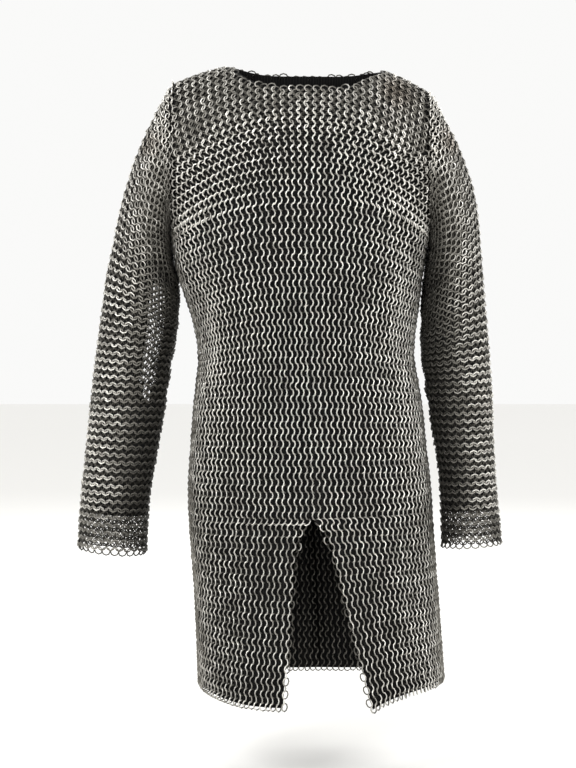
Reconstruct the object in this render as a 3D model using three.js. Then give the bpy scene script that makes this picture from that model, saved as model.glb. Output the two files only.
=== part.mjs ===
// A knee-length chainmail hauberk with long sleeves, as it hangs on a wearer with the arms down.
// Four pieces of linked mail: a front with a slit up from its hem, a back, and two tube sleeves.
// Frame: millimetres, +Z up, the front faces -Y, the wearer's left is +X. The origin lies between
// the two shoulders, midway across the neck opening, where the wearer's shoulders carry the mail.
import * as THREE from "three";

// ---------------------------------------------------------------- driving dimensions
const MAIL_THICKNESS = 5.2; // one layer of 4-in-1 weave, 1.6 mm wire, rings tilted
const SEAM_GAP = 0.3; // clearance between pieces along every seam
const RIDGE_Z = 16; // height of the shoulder line where it would cross the neck
const ARMPIT_Z = -245;
const SIDE_STEP = 100; // drop along the side seam for one unit of course
const HEM_COURSE = 7.45;
const SLIT_COURSE = 4.95; // where the front slit ends
const ARMHOLE_FRONT = 55; // reach of the armhole forward of the shoulder line
const ARMHOLE_BACK = 65;
const SHOULDER_FALL = 2.5; // power of the drop of a course from the middle to its end
const BODY_SQUARENESS = 2.4; // superellipse power of the body's sections
const CORNER_SAG = 3; // power of the sag of a flap towards its corner
const YOKE_COURSE = 0.4; // where a course starts to close round the body
const YOKE_ROUNDNESS = 2.2; // power of the flatter curve across the chest above the armpits

// Each side of the body: the plane of its armhole, the shoulder point, the neck point, and its
// edge of the slit: a quick opening, then a straight spread down to the hem, where the weave of
// the flap rides up by its lift and the corner sags.
const SIDES = {
  right: {
    sign: -1, armholeX: -190, shoulderZ: -20, neckX: -109,
    slitEdge: { opening: -14, openingDepth: 12, spread: -20, lift: 0, sag: 0 },
  },
  left: {
    sign: 1, armholeX: 179, shoulderZ: -31, neckX: 116,
    slitEdge: { opening: 9, openingDepth: 10, spread: 70, lift: 21, sag: 28 },
  },
};

// A course is a row of rings. Its number runs 0 to 1 from the shoulder line to the armpit, and
// one more for each SIDE_STEP of side seam below that. y and z are its middle on the front.
const FRONT_MIDDLE = [
  { course: 0.0, x: 0, y: 0, z: RIDGE_Z },
  { course: 0.1, x: 0, y: -16, z: 13 },
  { course: 0.2, x: 0, y: -32, z: 4 },
  { course: 0.35, x: 0, y: -60, z: -22 },
  { course: 0.5, x: 0, y: -87, z: -66 },
  { course: 0.65, x: 0, y: -104, z: -117 },
  { course: 0.8, x: 0, y: -112, z: -160 },
  { course: 1.0, x: 0, y: -118, z: -197 },
  { course: 1.5, x: 0, y: -120, z: -252 },
  { course: 2.0, x: 0, y: -117, z: -313 },
  { course: 2.6, x: 1, y: -111, z: -385 },
  { course: 3.3, x: 4, y: -108, z: -466 },
  { course: 4.15, x: 8, y: -112, z: -558 },
  { course: 4.95, x: 11, y: -117, z: -638 },
  { course: 6.0, x: 11, y: -122, z: -746 },
  { course: 7.45, x: 11, y: -128, z: -905 },
];
const BACK_MIDDLE = [
  { course: 0.0, x: 0, y: 0, z: RIDGE_Z },
  { course: 0.1, x: 0, y: 18, z: 15 },
  { course: 0.2, x: 0, y: 37, z: 8 },
  { course: 0.35, x: 0, y: 65, z: -17 },
  { course: 0.5, x: 0, y: 90, z: -61 },
  { course: 0.65, x: 0, y: 107, z: -113 },
  { course: 0.8, x: 0, y: 115, z: -157 },
  { course: 1.0, x: 0, y: 118, z: -196 },
  { course: 1.5, x: 0, y: 116, z: -250 },
  { course: 2.0, x: 0, y: 107, z: -311 },
  { course: 2.6, x: 0, y: 98, z: -383 },
  { course: 3.3, x: 3, y: 96, z: -463 },
  { course: 4.15, x: 7, y: 107, z: -557 },
  { course: 4.95, x: 11, y: 116, z: -638 },
  { course: 6.0, x: 17, y: 121, z: -742 },
  { course: 7.45, x: 24, y: 126, z: -893 },
];

// The side seams: how far out each one lies, and how much the weave rides up there.
const SIDE_SEAMS = [
  { course: 1.0, right: -190, left: 179, rightLift: 0, leftLift: 0 },
  { course: 1.29, right: -186, left: 173.5, rightLift: 0, leftLift: 0 },
  { course: 1.55, right: -180, left: 169, rightLift: 0, leftLift: 0 },
  { course: 1.74, right: -173, left: 167, rightLift: 0, leftLift: 0 },
  { course: 2.2, right: -158, left: 161, rightLift: 0, leftLift: 0 },
  { course: 2.65, right: -151, left: 157, rightLift: 0, leftLift: 0 },
  { course: 3.05, right: -154, left: 163.5, rightLift: 0, leftLift: 0 },
  { course: 3.45, right: -158.5, left: 170, rightLift: 0, leftLift: 0 },
  { course: 3.95, right: -162, left: 175, rightLift: 0, leftLift: 0 },
  { course: 4.55, right: -166, left: 182, rightLift: 0, leftLift: 1 },
  { course: 5.2, right: -164, left: 186, rightLift: 0, leftLift: 3 },
  { course: 6.15, right: -157, left: 193, rightLift: 1, leftLift: 7 },
  { course: 7.45, right: -152, left: 202, rightLift: 3, leftLift: 11 },
];

// The neck edge: its course at the middle, and the powers of its rounded-off corners.
const FRONT_NECK = { course: 0.365, corner: 3.5, round: 1.4 };
const BACK_NECK = { course: 0.26, corner: 3.0, round: 1.5 };

// Soft troughs in the body, each along a line from (x0, z0) to (x1, z1) as seen from the front.
const FRONT_TROUGHS = [
  { x0: -172, z0: -206, x1: -112, z1: -118, depth: 5.0, width: 21 },
  { x0: -166, z0: -262, x1: -116, z1: -216, depth: 4.2, width: 17 },
  { x0: -152, z0: -290, x1: -139, z1: -430, depth: 5.0, width: 18 },
  { x0: 162, z0: -204, x1: 108, z1: -122, depth: 4.6, width: 20 },
  { x0: 158, z0: -266, x1: 112, z1: -222, depth: 4.0, width: 16 },
  { x0: 150, z0: -286, x1: 139, z1: -410, depth: 4.5, width: 17 },
  { x0: -104, z0: -428, x1: -24, z1: -452, depth: 2.0, width: 22 },
  { x0: 58, z0: -446, x1: 132, z1: -418, depth: 2.2, width: 20 },
  { x0: -98, z0: -570, x1: -112, z1: -900, depth: 3.2, width: 20 },
  { x0: -58, z0: -700, x1: -64, z1: -910, depth: 2.4, width: 15 },
  { x0: 150, z0: -640, x1: 162, z1: -890, depth: 3.4, width: 21 },
  { x0: 112, z0: -735, x1: 124, z1: -905, depth: 2.6, width: 14 },
];
const BACK_TROUGHS = [
  { x0: 2, z0: -95, x1: -3, z1: -345, depth: 4.5, width: 32 },
  { x0: -172, z0: -210, x1: -108, z1: -132, depth: 4.8, width: 21 },
  { x0: 160, z0: -200, x1: 104, z1: -126, depth: 4.8, width: 20 },
  { x0: -150, z0: -290, x1: -134, z1: -440, depth: 4.6, width: 18 },
  { x0: 150, z0: -284, x1: 132, z1: -424, depth: 5.0, width: 18 },
  { x0: -92, z0: -402, x1: 6, z1: -424, depth: 2.6, width: 20 },
  { x0: 30, z0: -398, x1: 104, z1: -420, depth: 2.4, width: 22 },
  { x0: -86, z0: -620, x1: -92, z1: -895, depth: 3.6, width: 22 },
  { x0: -18, z0: -680, x1: -14, z1: -895, depth: 2.8, width: 17 },
  { x0: 52, z0: -600, x1: 66, z1: -895, depth: 3.4, width: 21 },
  { x0: 138, z0: -660, x1: 150, z1: -885, depth: 3.0, width: 19 },
];

// The sleeves' sections, shoulder to cuff. Each is an oval that stands on the line from its
// outer point to its inner point; front and back are its reaches either side of y.
const RIGHT_SLEEVE = [
  { along: 0.0, outerX: -190, outerZ: -20, innerX: -190, innerZ: -245, y: 0, front: 55, back: 65 },
  { along: 0.5, outerX: -204, outerZ: -43, innerX: -190.8, innerZ: -250, y: 0, front: 59, back: 67 },
  { along: 1.0, outerX: -219, outerZ: -71, innerX: -190.3, innerZ: -258, y: 0, front: 62, back: 69 },
  { along: 1.5, outerX: -234, outerZ: -102, innerX: -188.7, innerZ: -268, y: 0, front: 64, back: 69 },
  { along: 2.0, outerX: -247, outerZ: -134, innerX: -187, innerZ: -279, y: 0, front: 65, back: 68 },
  { along: 2.5, outerX: -258, outerZ: -168, innerX: -183.5, innerZ: -292, y: 0, front: 65, back: 66 },
  { along: 3.0, outerX: -268, outerZ: -206, innerX: -180, innerZ: -306, y: 0, front: 63, back: 64 },
  { along: 3.5, outerX: -277, outerZ: -250, innerX: -178.5, innerZ: -325, y: 0, front: 60, back: 61 },
  { along: 4.0, outerX: -287, outerZ: -297, innerX: -178.7, innerZ: -345, y: 0, front: 57, back: 57 },
  { along: 4.5, outerX: -294, outerZ: -348, innerX: -181.5, innerZ: -372, y: -1, front: 54, back: 54 },
  { along: 5.5, outerX: -307, outerZ: -449, innerX: -193, innerZ: -455, y: -4, front: 52, back: 52 },
  { along: 6.5, outerX: -316, outerZ: -540, innerX: -209, innerZ: -546, y: -10, front: 51, back: 51 },
  { along: 7.3, outerX: -323, outerZ: -609, innerX: -221, innerZ: -616, y: -15, front: 50, back: 50 },
  { along: 8.2, outerX: -328, outerZ: -688, innerX: -225.5, innerZ: -697, y: -20, front: 50, back: 50 },
];
const LEFT_SLEEVE = [
  { along: 0.0, outerX: 179, outerZ: -31, innerX: 179, innerZ: -245, y: 0, front: 55, back: 65 },
  { along: 0.5, outerX: 191, outerZ: -48, innerX: 179.9, innerZ: -250, y: 0, front: 59, back: 67 },
  { along: 1.0, outerX: 205, outerZ: -73, innerX: 179, innerZ: -258, y: 0, front: 62, back: 69 },
  { along: 1.5, outerX: 221, outerZ: -103, innerX: 176.9, innerZ: -268, y: 0, front: 64, back: 70 },
  { along: 2.0, outerX: 236, outerZ: -140, innerX: 174.6, innerZ: -280, y: 0, front: 66, back: 70 },
  { along: 2.5, outerX: 247, outerZ: -177, innerX: 172.5, innerZ: -296, y: 0, front: 66, back: 69 },
  { along: 3.0, outerX: 253, outerZ: -215, innerX: 170, innerZ: -312, y: 0, front: 64, back: 67 },
  { along: 3.5, outerX: 257, outerZ: -258, innerX: 168, innerZ: -336, y: 0, front: 62, back: 64 },
  { along: 4.0, outerX: 261, outerZ: -306, innerX: 167.2, innerZ: -361, y: 0, front: 59, back: 60 },
  { along: 4.5, outerX: 266, outerZ: -362, innerX: 167.5, innerZ: -391, y: -1, front: 57, back: 57 },
  { along: 5.5, outerX: 273, outerZ: -452, innerX: 172.8, innerZ: -458, y: -4, front: 55, back: 55 },
  { along: 6.5, outerX: 276, outerZ: -540, innerX: 188, innerZ: -544, y: -10, front: 54, back: 54 },
  { along: 7.3, outerX: 280, outerZ: -606, innerX: 195, innerZ: -610, y: -15, front: 53, back: 53 },
  { along: 8.2, outerX: 287, outerZ: -680, innerX: 197, innerZ: -686, y: -20, front: 52, back: 52 },
];

// Soft troughs across the sleeves: where along, where around (degrees from the outer line,
// forward first), how deep, and their reach along and around.
const RIGHT_SLEEVE_TROUGHS = [
  { along: 3.3, around: 128, depth: 5.0, reachAlong: 0.22, reachAround: 34 },
  { along: 4.1, around: 225, depth: 4.2, reachAlong: 0.2, reachAround: 38 },
  { along: 5.15, around: 150, depth: 4.6, reachAlong: 0.16, reachAround: 42 },
  { along: 5.6, around: 205, depth: 3.8, reachAlong: 0.15, reachAround: 36 },
  { along: 6.3, around: 140, depth: 2.8, reachAlong: 0.2, reachAround: 30 },
];
const LEFT_SLEEVE_TROUGHS = [
  { along: 3.2, around: 132, depth: 4.6, reachAlong: 0.2, reachAround: 36 },
  { along: 4.0, around: 218, depth: 4.4, reachAlong: 0.21, reachAround: 36 },
  { along: 5.3, around: 158, depth: 4.2, reachAlong: 0.17, reachAround: 40 },
  { along: 5.8, around: 200, depth: 3.4, reachAlong: 0.15, reachAround: 34 },
  { along: 6.9, around: 145, depth: 2.6, reachAlong: 0.22, reachAround: 30 },
];

const TROUGH_END_SHARE = 0.45; // how much of its depth a trough keeps at either end
const SEAM_FADE = 8; // power with which troughs die out towards a side seam or armhole
const SHOULDER_FADE = 0.3; // course by which they have come in below the shoulder line

// How finely the sheets are divided.
const ARMHOLE_ROWS = 9; // from shoulder line to armpit, so 20 degrees of armhole each
const ROWS_TO_SLIT = 12; // from armpit to the top of the slit
const ROWS_TO_HEM = 8; // from there to the hem
const NECK_FRACTIONS = [0, 0.22, 0.43, 0.62, 0.78, 0.89, 0.96, 1];
const STRAP_COLUMNS = 6;
const SLEEVE_STATIONS = [
  0, 0.35, 0.75, 1.15, 1.6, 2.05, 2.5, 3.0, 3.3, 3.6, 4.0, 4.4, 4.8, 5.15, 5.45, 5.8, 6.2, 6.6,
  7.0, 7.4, 7.8, 8.2,
];
const CUFF_ALONG = SLEEVE_STATIONS.at(-1);
const ROUND = [-360, 720]; // degrees round a sleeve, with room either side of one turn
const SMALL = 1e-3; // step for finite differences
const SEAM_INSET = 0.995; // where a normal is read for a point that lies on a side seam

const MAIL_STEEL = new THREE.MeshStandardMaterial({ color: 0x6d6c67, roughness: 0.42, metalness: 1 });

// ---------------------------------------------------------------- curves through tables
// Smooth curve through one column of a table, read at a place on its key column.
function readTable(table, key, column, place) {
  const last = table.length - 1;
  let row = 0;
  while (row < last - 1 && place > table[row + 1][key]) row += 1;
  const slope = (from, to) => (table[to][column] - table[from][column]) / (table[to][key] - table[from][key]);
  const start = table[row];
  const end = table[row + 1];
  const span = end[key] - start[key];
  const t = THREE.MathUtils.clamp((place - start[key]) / span, 0, 1);
  const slopeStart = row > 0 ? slope(row - 1, row + 1) : slope(0, 1);
  const slopeEnd = row + 1 < last ? slope(row, row + 2) : slope(last - 1, last);
  const a = (1 + 2 * t) * (1 - t) * (1 - t);
  const b = t * (1 - t) * (1 - t);
  const c = t * t * (3 - 2 * t);
  const d = t * t * (t - 1);
  return a * start[column] + b * span * slopeStart + c * end[column] + d * span * slopeEnd;
}

// How far a course has closed round the body: 0 across the yoke, 1 from the armpit down.
function closing(course) {
  return THREE.MathUtils.smoothstep(course, YOKE_COURSE, 1);
}

// ---------------------------------------------------------------- body surface
// The end of a course, on the armhole's oval or on the side seam below it.
function courseEnd(panel, side, course) {
  if (course <= 1) {
    const turn = Math.PI * course;
    const middleZ = (side.shoulderZ + ARMPIT_Z) / 2;
    const halfHeight = (side.shoulderZ - ARMPIT_Z) / 2;
    const y = panel.facing * panel.armholeReach * Math.sin(turn);
    return new THREE.Vector3(side.armholeX, y, middleZ + halfHeight * Math.cos(turn));
  }
  const name = side.sign < 0 ? "right" : "left";
  const drop = (course - 1) * SIDE_STEP - readTable(SIDE_SEAMS, "course", `${name}Lift`, course);
  return new THREE.Vector3(readTable(SIDE_SEAMS, "course", name, course), 0, ARMPIT_Z - drop);
}

// How far down the slit a course lies: 0 at its top and above, 1 at the hem.
function slitShare(panel, course) {
  if (!panel.slit) return 0;
  return Math.max((course - SLIT_COURSE) / (HEM_COURSE - SLIT_COURSE), 0);
}

// The middle of a course, or the edge of the slit where it has one.
function courseMiddle(panel, side, course) {
  const middle = new THREE.Vector3(
    readTable(panel.middle, "course", "x", course),
    readTable(panel.middle, "course", "y", course),
    readTable(panel.middle, "course", "z", course),
  );
  const share = slitShare(panel, course);
  if (share > 0) {
    const depth = (course - SLIT_COURSE) * SIDE_STEP;
    const opened = side.slitEdge.opening * (1 - Math.exp(-depth / side.slitEdge.openingDepth));
    middle.x += opened + side.slitEdge.spread * share;
    middle.z += side.slitEdge.lift * share;
  }
  return middle;
}

// A point of the smooth outer surface: across runs 0 at the middle to 1 at the end of a course.
function smoothBody(panel, side, across, course) {
  const from = courseMiddle(panel, side, course);
  const to = courseEnd(panel, side, course);
  const closed = closing(course);
  const turn = (across * Math.PI) / 2;
  const power = 2 / BODY_SQUARENESS;
  const out = (1 - closed) * across + closed * Math.pow(Math.max(Math.sin(turn), 0), power);
  const kept = (1 - closed) * (1 - Math.pow(across, YOKE_ROUNDNESS))
    + closed * Math.pow(Math.max(Math.cos(turn), 0), power);
  const sag = side.slitEdge.sag * slitShare(panel, course) * Math.pow(1 - out, CORNER_SAG);
  return new THREE.Vector3(
    from.x + (to.x - from.x) * out,
    from.y + (to.y - from.y) * (1 - kept),
    from.z + (to.z - from.z) * Math.pow(out, SHOULDER_FALL) - sag,
  );
}

// Unit normal of a surface given as a function of two numbers, on the side it is asked for.
function normalOf(surface, u, v, uRange, vRange, outward) {
  const at = (a, b) => surface(
    THREE.MathUtils.clamp(a, ...uRange),
    THREE.MathUtils.clamp(b, ...vRange),
  );
  const alongU = at(u + SMALL, v).sub(at(u - SMALL, v));
  const alongV = at(u, v + SMALL).sub(at(u, v - SMALL));
  return alongU.cross(alongV).normalize().multiplyScalar(outward);
}

// Depth of the troughs at a point: the deepest along each line, fading to its sides and ends.
function troughDepth(troughs, point) {
  let depth = 0;
  for (const trough of troughs) {
    const line = new THREE.Vector2(trough.x1 - trough.x0, trough.z1 - trough.z0);
    const offset = new THREE.Vector2(point.x - trough.x0, point.z - trough.z0);
    const share = THREE.MathUtils.clamp(offset.dot(line) / line.lengthSq(), 0, 1);
    const away = offset.sub(line.multiplyScalar(share)).length() / trough.width;
    const middling = Math.sin(Math.PI * share);
    const kept = TROUGH_END_SHARE + (1 - TROUGH_END_SHARE) * middling;
    depth += trough.depth * Math.exp(-away * away) * kept;
  }
  return depth;
}

// A point of the outer surface with its troughs, which die out at the seams.
function bodyPoint(panel, side, across, course) {
  const point = smoothBody(panel, side, across, course);
  const surface = (a, c) => smoothBody(panel, side, a, c);
  const inset = Math.min(across, SEAM_INSET);
  const normal = normalOf(surface, inset, course, [0, 1], [0, HEM_COURSE], panel.facing * side.sign);
  const fade = (1 - Math.pow(across, SEAM_FADE)) * Math.min(course / SHOULDER_FADE, 1);
  const depth = troughDepth(panel.troughs, point) * fade;
  return point.addScaledVector(normal, -depth);
}

// The first course of a column, lower inside the neck opening.
function topCourse(panel, side, across) {
  const share = across / (side.neckX / side.armholeX);
  if (share >= 1) return 0;
  return panel.neck.course * Math.pow(1 - Math.pow(share, panel.neck.corner), 1 / panel.neck.round);
}

// ---------------------------------------------------------------- sleeve surface
// A point of the smooth outer surface of a sleeve; around is in degrees from the outer line.
function smoothSleeve(sleeve, around, along) {
  const read = (column) => readTable(sleeve.sections, "along", column, along);
  const turn = THREE.MathUtils.degToRad(around);
  const outerShare = (1 + Math.cos(turn)) / 2;
  const reach = Math.sin(turn) > 0 ? read("front") : read("back");
  return new THREE.Vector3(
    read("innerX") + (read("outerX") - read("innerX")) * outerShare,
    read("y") - reach * Math.sin(turn),
    read("innerZ") + (read("outerZ") - read("innerZ")) * outerShare,
  );
}

// A point of the outer surface of a sleeve with its troughs, none of them at the armhole.
function sleevePoint(sleeve, around, along) {
  const point = smoothSleeve(sleeve, around, along);
  const surface = (a, b) => smoothSleeve(sleeve, a, b);
  const normal = normalOf(surface, around, along, ROUND, [0, CUFF_ALONG], sleeve.side.sign);
  let depth = 0;
  for (const trough of sleeve.troughs) {
    const offAlong = (along - trough.along) / trough.reachAlong;
    const offAround = (around - trough.around) / trough.reachAround;
    depth += trough.depth * Math.exp(-offAlong * offAlong - offAround * offAround);
  }
  return point.addScaledVector(normal, -depth);
}

// ---------------------------------------------------------------- the seam round an armhole
// Both pieces meet on one face: which way it runs inward, and the half gap off it.
function armholeSeam(facing, side, course) {
  const reach = facing < 0 ? ARMHOLE_FRONT : ARMHOLE_BACK;
  const halfHeight = (side.shoulderZ - ARMPIT_Z) / 2;
  const turn = Math.PI * course;
  const inward = new THREE.Vector3(
    0,
    (-facing * Math.sin(turn)) / reach,
    -Math.cos(turn) / halfHeight,
  ).normalize();
  const mitre = closing(course);
  const towardBody = -side.sign;
  const run = inward.clone().add(new THREE.Vector3(towardBody * mitre, 0, 0));
  const off = new THREE.Vector3(towardBody, 0, 0).addScaledVector(inward, -mitre).normalize();
  return { run: run.multiplyScalar(MAIL_THICKNESS), off: off.multiplyScalar(SEAM_GAP / 2) };
}

// ---------------------------------------------------------------- walls from sheets
// A sheet collects points of the outer surface, each with the step to the inner surface, and
// the four-cornered faces between them.
class Sheet {
  constructor() {
    this.outer = [];
    this.steps = [];
    this.faces = [];
  }

  // Adds a point and gives its number.
  addPoint({ point, step }) {
    this.steps.push(step);
    return this.outer.push(point) - 1;
  }

  // Adds the faces of a grid of point numbers, seen from outside with their corners in order.
  addGrid(grid, flip) {
    for (let row = 0; row + 1 < grid.length; row += 1) {
      for (let column = 0; column + 1 < grid[row].length; column += 1) {
        const face = [
          grid[row][column],
          grid[row + 1][column],
          grid[row + 1][column + 1],
          grid[row][column + 1],
        ];
        this.faces.push(flip ? face.reverse() : face);
      }
    }
  }

  // The two triangles of a face, split along its shorter diagonal.
  triangles([a, b, c, d]) {
    const [pointA, pointB, pointC, pointD] = [a, b, c, d].map((corner) => this.outer[corner]);
    const splitFromFirst = pointA.distanceTo(pointC) <= pointB.distanceTo(pointD);
    return splitFromFirst ? [[a, b, c], [a, c, d]] : [[b, c, d], [b, d, a]];
  }

  // The closed wall: outer faces, inner faces, and edge faces where a side has no neighbour.
  toGeometry() {
    const count = this.outer.length;
    const inner = this.outer.map((point, index) => point.clone().add(this.steps[index]));
    const positions = [...this.outer, ...inner].flatMap((point) => point.toArray());
    const indices = [];
    const open = new Map();
    for (const face of this.faces) {
      for (const [a, b, c] of this.triangles(face)) {
        indices.push(a, b, c);
        indices.push(a + count, c + count, b + count);
      }
      face.forEach((from, place) => {
        const to = face[(place + 1) % face.length];
        if (!open.delete(`${to} ${from}`)) open.set(`${from} ${to}`, [from, to]);
      });
    }
    // An edge face is split from its higher outer corner, so that two pieces split a seam alike.
    for (const [from, to] of open.values()) {
      const fromIsHigher = this.outer[from].z > this.outer[to].z;
      indices.push(to, from, fromIsHigher ? to + count : from + count);
      indices.push(fromIsHigher ? from : to, from + count, to + count);
    }
    const geometry = new THREE.BufferGeometry();
    geometry.setAttribute("position", new THREE.Float32BufferAttribute(positions, 3));
    geometry.setIndex(indices);
    return geometry;
  }
}

function namedMesh(name, geometry) {
  const mesh = new THREE.Mesh(geometry, MAIL_STEEL.clone());
  mesh.name = name;
  return mesh;
}

// ---------------------------------------------------------------- the front and the back
// The columns of half a panel, from the middle to the neck corner and on to the armhole.
function columnPlaces(side) {
  const neckCorner = side.neckX / side.armholeX;
  const strap = Array.from({ length: STRAP_COLUMNS }, (_, index) => (
    neckCorner + (1 - neckCorner) * Math.sin(((index + 1) / STRAP_COLUMNS) * (Math.PI / 2))
  ));
  return [...NECK_FRACTIONS.map((share) => share * neckCorner), ...strap];
}

// Where a point goes on a panel, with the step through its wall, held to the seams' faces.
function panelPoint(panel, side, across, course) {
  const point = bodyPoint(panel, side, across, course);
  const surface = (a, c) => bodyPoint(panel, side, a, c);
  const inset = Math.min(across, SEAM_INSET);
  const normal = normalOf(surface, inset, course, [0, 1], [0, HEM_COURSE], panel.facing * side.sign);
  const halfGap = (panel.facing * SEAM_GAP) / 2;
  const onArmhole = across >= 1 && course <= 1;
  if (onArmhole) {
    const seam = armholeSeam(panel.facing, side, course);
    point.add(seam.off);
    if (course === 0 || course === 1) point.y = halfGap;
    return { point, step: seam.run };
  }
  const onSeam = across >= 1 || course <= 0;
  if (onSeam) {
    point.y = halfGap;
    normal.y = 0;
    normal.normalize();
  }
  return { point, step: normal.multiplyScalar(-MAIL_THICKNESS) };
}

// The course at a row of the grid, in a column whose first course is given.
function rowCourse(row, top) {
  if (row <= ARMHOLE_ROWS) return top + (1 - top) * (row / ARMHOLE_ROWS);
  const below = row - ARMHOLE_ROWS;
  if (below <= ROWS_TO_SLIT) return 1 + (SLIT_COURSE - 1) * (below / ROWS_TO_SLIT);
  return SLIT_COURSE + (HEM_COURSE - SLIT_COURSE) * ((below - ROWS_TO_SLIT) / ROWS_TO_HEM);
}

// Both halves of a panel share the points of the middle column, down to the slit if it has one.
function makePanel(panel) {
  const sheet = new Sheet();
  const shared = [];
  const lastRow = ARMHOLE_ROWS + ROWS_TO_SLIT + ROWS_TO_HEM;
  const lastShared = panel.slit ? ARMHOLE_ROWS + ROWS_TO_SLIT : lastRow;
  for (const side of Object.values(SIDES)) {
    const grid = [];
    for (let row = 0; row <= lastRow; row += 1) {
      grid.push(columnPlaces(side).map((across) => {
        if (across === 0 && row in shared) return shared[row];
        const course = rowCourse(row, topCourse(panel, side, across));
        const number = sheet.addPoint(panelPoint(panel, side, across, course));
        if (across === 0 && row <= lastShared) shared[row] = number;
        return number;
      }));
    }
    sheet.addGrid(grid, panel.facing * side.sign > 0);
  }
  return namedMesh(panel.name, sheet.toGeometry());
}

// ---------------------------------------------------------------- the sleeves
// Where a point goes on a sleeve, with the step through its wall, held to the armhole's face.
function tubePoint(sleeve, around, along) {
  const surface = (a, b) => sleevePoint(sleeve, a, b);
  const point = surface(around, along);
  if (along > 0) {
    const normal = normalOf(surface, around, along, ROUND, [0, CUFF_ALONG], sleeve.side.sign);
    return { point, step: normal.multiplyScalar(-MAIL_THICKNESS) };
  }
  const facing = around <= 180 ? -1 : 1;
  const course = (around <= 180 ? around : 360 - around) / 180;
  const seam = armholeSeam(facing, sleeve.side, course);
  return { point: point.sub(seam.off), step: seam.run };
}

function makeSleeve(sleeve) {
  const sheet = new Sheet();
  const turns = Array.from({ length: 2 * ARMHOLE_ROWS }, (_, index) => (index * 180) / ARMHOLE_ROWS);
  const grid = SLEEVE_STATIONS.map((along) => {
    const ring = turns.map((around) => sheet.addPoint(tubePoint(sleeve, around, along)));
    return [...ring, ring[0]];
  });
  sheet.addGrid(grid, sleeve.side.sign > 0);
  return namedMesh(sleeve.name, sheet.toGeometry());
}

// ---------------------------------------------------------------- the hauberk
const front = {
  name: "front", facing: -1, middle: FRONT_MIDDLE, neck: FRONT_NECK, troughs: FRONT_TROUGHS,
  slit: true, armholeReach: ARMHOLE_FRONT,
};
const back = {
  name: "back", facing: 1, middle: BACK_MIDDLE, neck: BACK_NECK, troughs: BACK_TROUGHS,
  slit: false, armholeReach: ARMHOLE_BACK,
};
const sleeveRight = {
  name: "sleeve_right", side: SIDES.right, sections: RIGHT_SLEEVE, troughs: RIGHT_SLEEVE_TROUGHS,
};
const sleeveLeft = {
  name: "sleeve_left", side: SIDES.left, sections: LEFT_SLEEVE, troughs: LEFT_SLEEVE_TROUGHS,
};

const hauberk = new THREE.Group();
hauberk.add(makePanel(front), makePanel(back), makeSleeve(sleeveLeft), makeSleeve(sleeveRight));

export default hauberk;
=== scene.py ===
"""A thigh-length chainmail hauberk with long sleeves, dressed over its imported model.

The mail is a 4-in-1 weave: every ring passes through two rings of the row above and two of the row
below, and the rows lean left and right by turns. The rows of the front and back lie level, and the
rows of the sleeves run down the arms. Each of the four cut pieces gets its rings, joined into
meshes, and a thin dark backing that stands for the shaded depth of the weave.

Sizes are millimetres in this file and become metres when a mesh is made. +Z is up, the front faces
-Y, and the wearer's left is +X.
"""

from __future__ import annotations

import logging
import math
from collections.abc import Callable
from dataclasses import dataclass, field, fields
from enum import Enum

import bpy
import numpy as np
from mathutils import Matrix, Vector

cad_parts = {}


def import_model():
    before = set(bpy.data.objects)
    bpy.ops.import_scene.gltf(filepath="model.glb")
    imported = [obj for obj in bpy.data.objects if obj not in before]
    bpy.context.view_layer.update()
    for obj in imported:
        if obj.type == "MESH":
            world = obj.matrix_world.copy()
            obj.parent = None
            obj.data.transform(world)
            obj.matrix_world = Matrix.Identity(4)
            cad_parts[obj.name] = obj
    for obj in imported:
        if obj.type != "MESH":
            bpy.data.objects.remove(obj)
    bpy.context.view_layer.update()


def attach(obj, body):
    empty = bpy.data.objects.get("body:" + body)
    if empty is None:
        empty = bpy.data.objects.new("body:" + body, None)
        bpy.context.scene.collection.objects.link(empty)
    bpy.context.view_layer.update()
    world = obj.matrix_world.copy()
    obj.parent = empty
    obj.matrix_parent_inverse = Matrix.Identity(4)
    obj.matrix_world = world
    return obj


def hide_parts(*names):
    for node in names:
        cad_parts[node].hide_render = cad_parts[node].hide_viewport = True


LOG = logging.getLogger("hauberk")
MM = 0.001
MAIL_THICKNESS = 5.2
STEP = 1e-3  # step of the finite differences on the surfaces' own two numbers

Surface = Callable[[np.ndarray, np.ndarray], np.ndarray]


# ---------------------------------------------------------------------- numbers and curves
def linear_colour(hex_code: str) -> tuple[float, float, float, float]:
    """Turn an sRGB hex colour into linear values.

    Args:
        hex_code: Six hex digits after a hash.

    Returns:
        Red, green, blue and an alpha of one.
    """
    parts = [int(hex_code[place : place + 2], 16) / 255 for place in (1, 3, 5)]
    linear = [
        part / 12.92 if part <= 0.04045 else ((part + 0.055) / 1.055) ** 2.4 for part in parts
    ]
    return (linear[0], linear[1], linear[2], 1.0)


def smoothstep(place: np.ndarray, start: float, end: float) -> np.ndarray:
    """Rise smoothly from 0 at start to 1 at end."""
    share = np.clip((place - start) / (end - start), 0, 1)
    return share * share * (3 - 2 * share)


def unit(vectors: np.ndarray) -> np.ndarray:
    """Scale vectors to length one."""
    return vectors / np.maximum(np.linalg.norm(vectors, axis=-1, keepdims=True), 1e-9)


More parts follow.
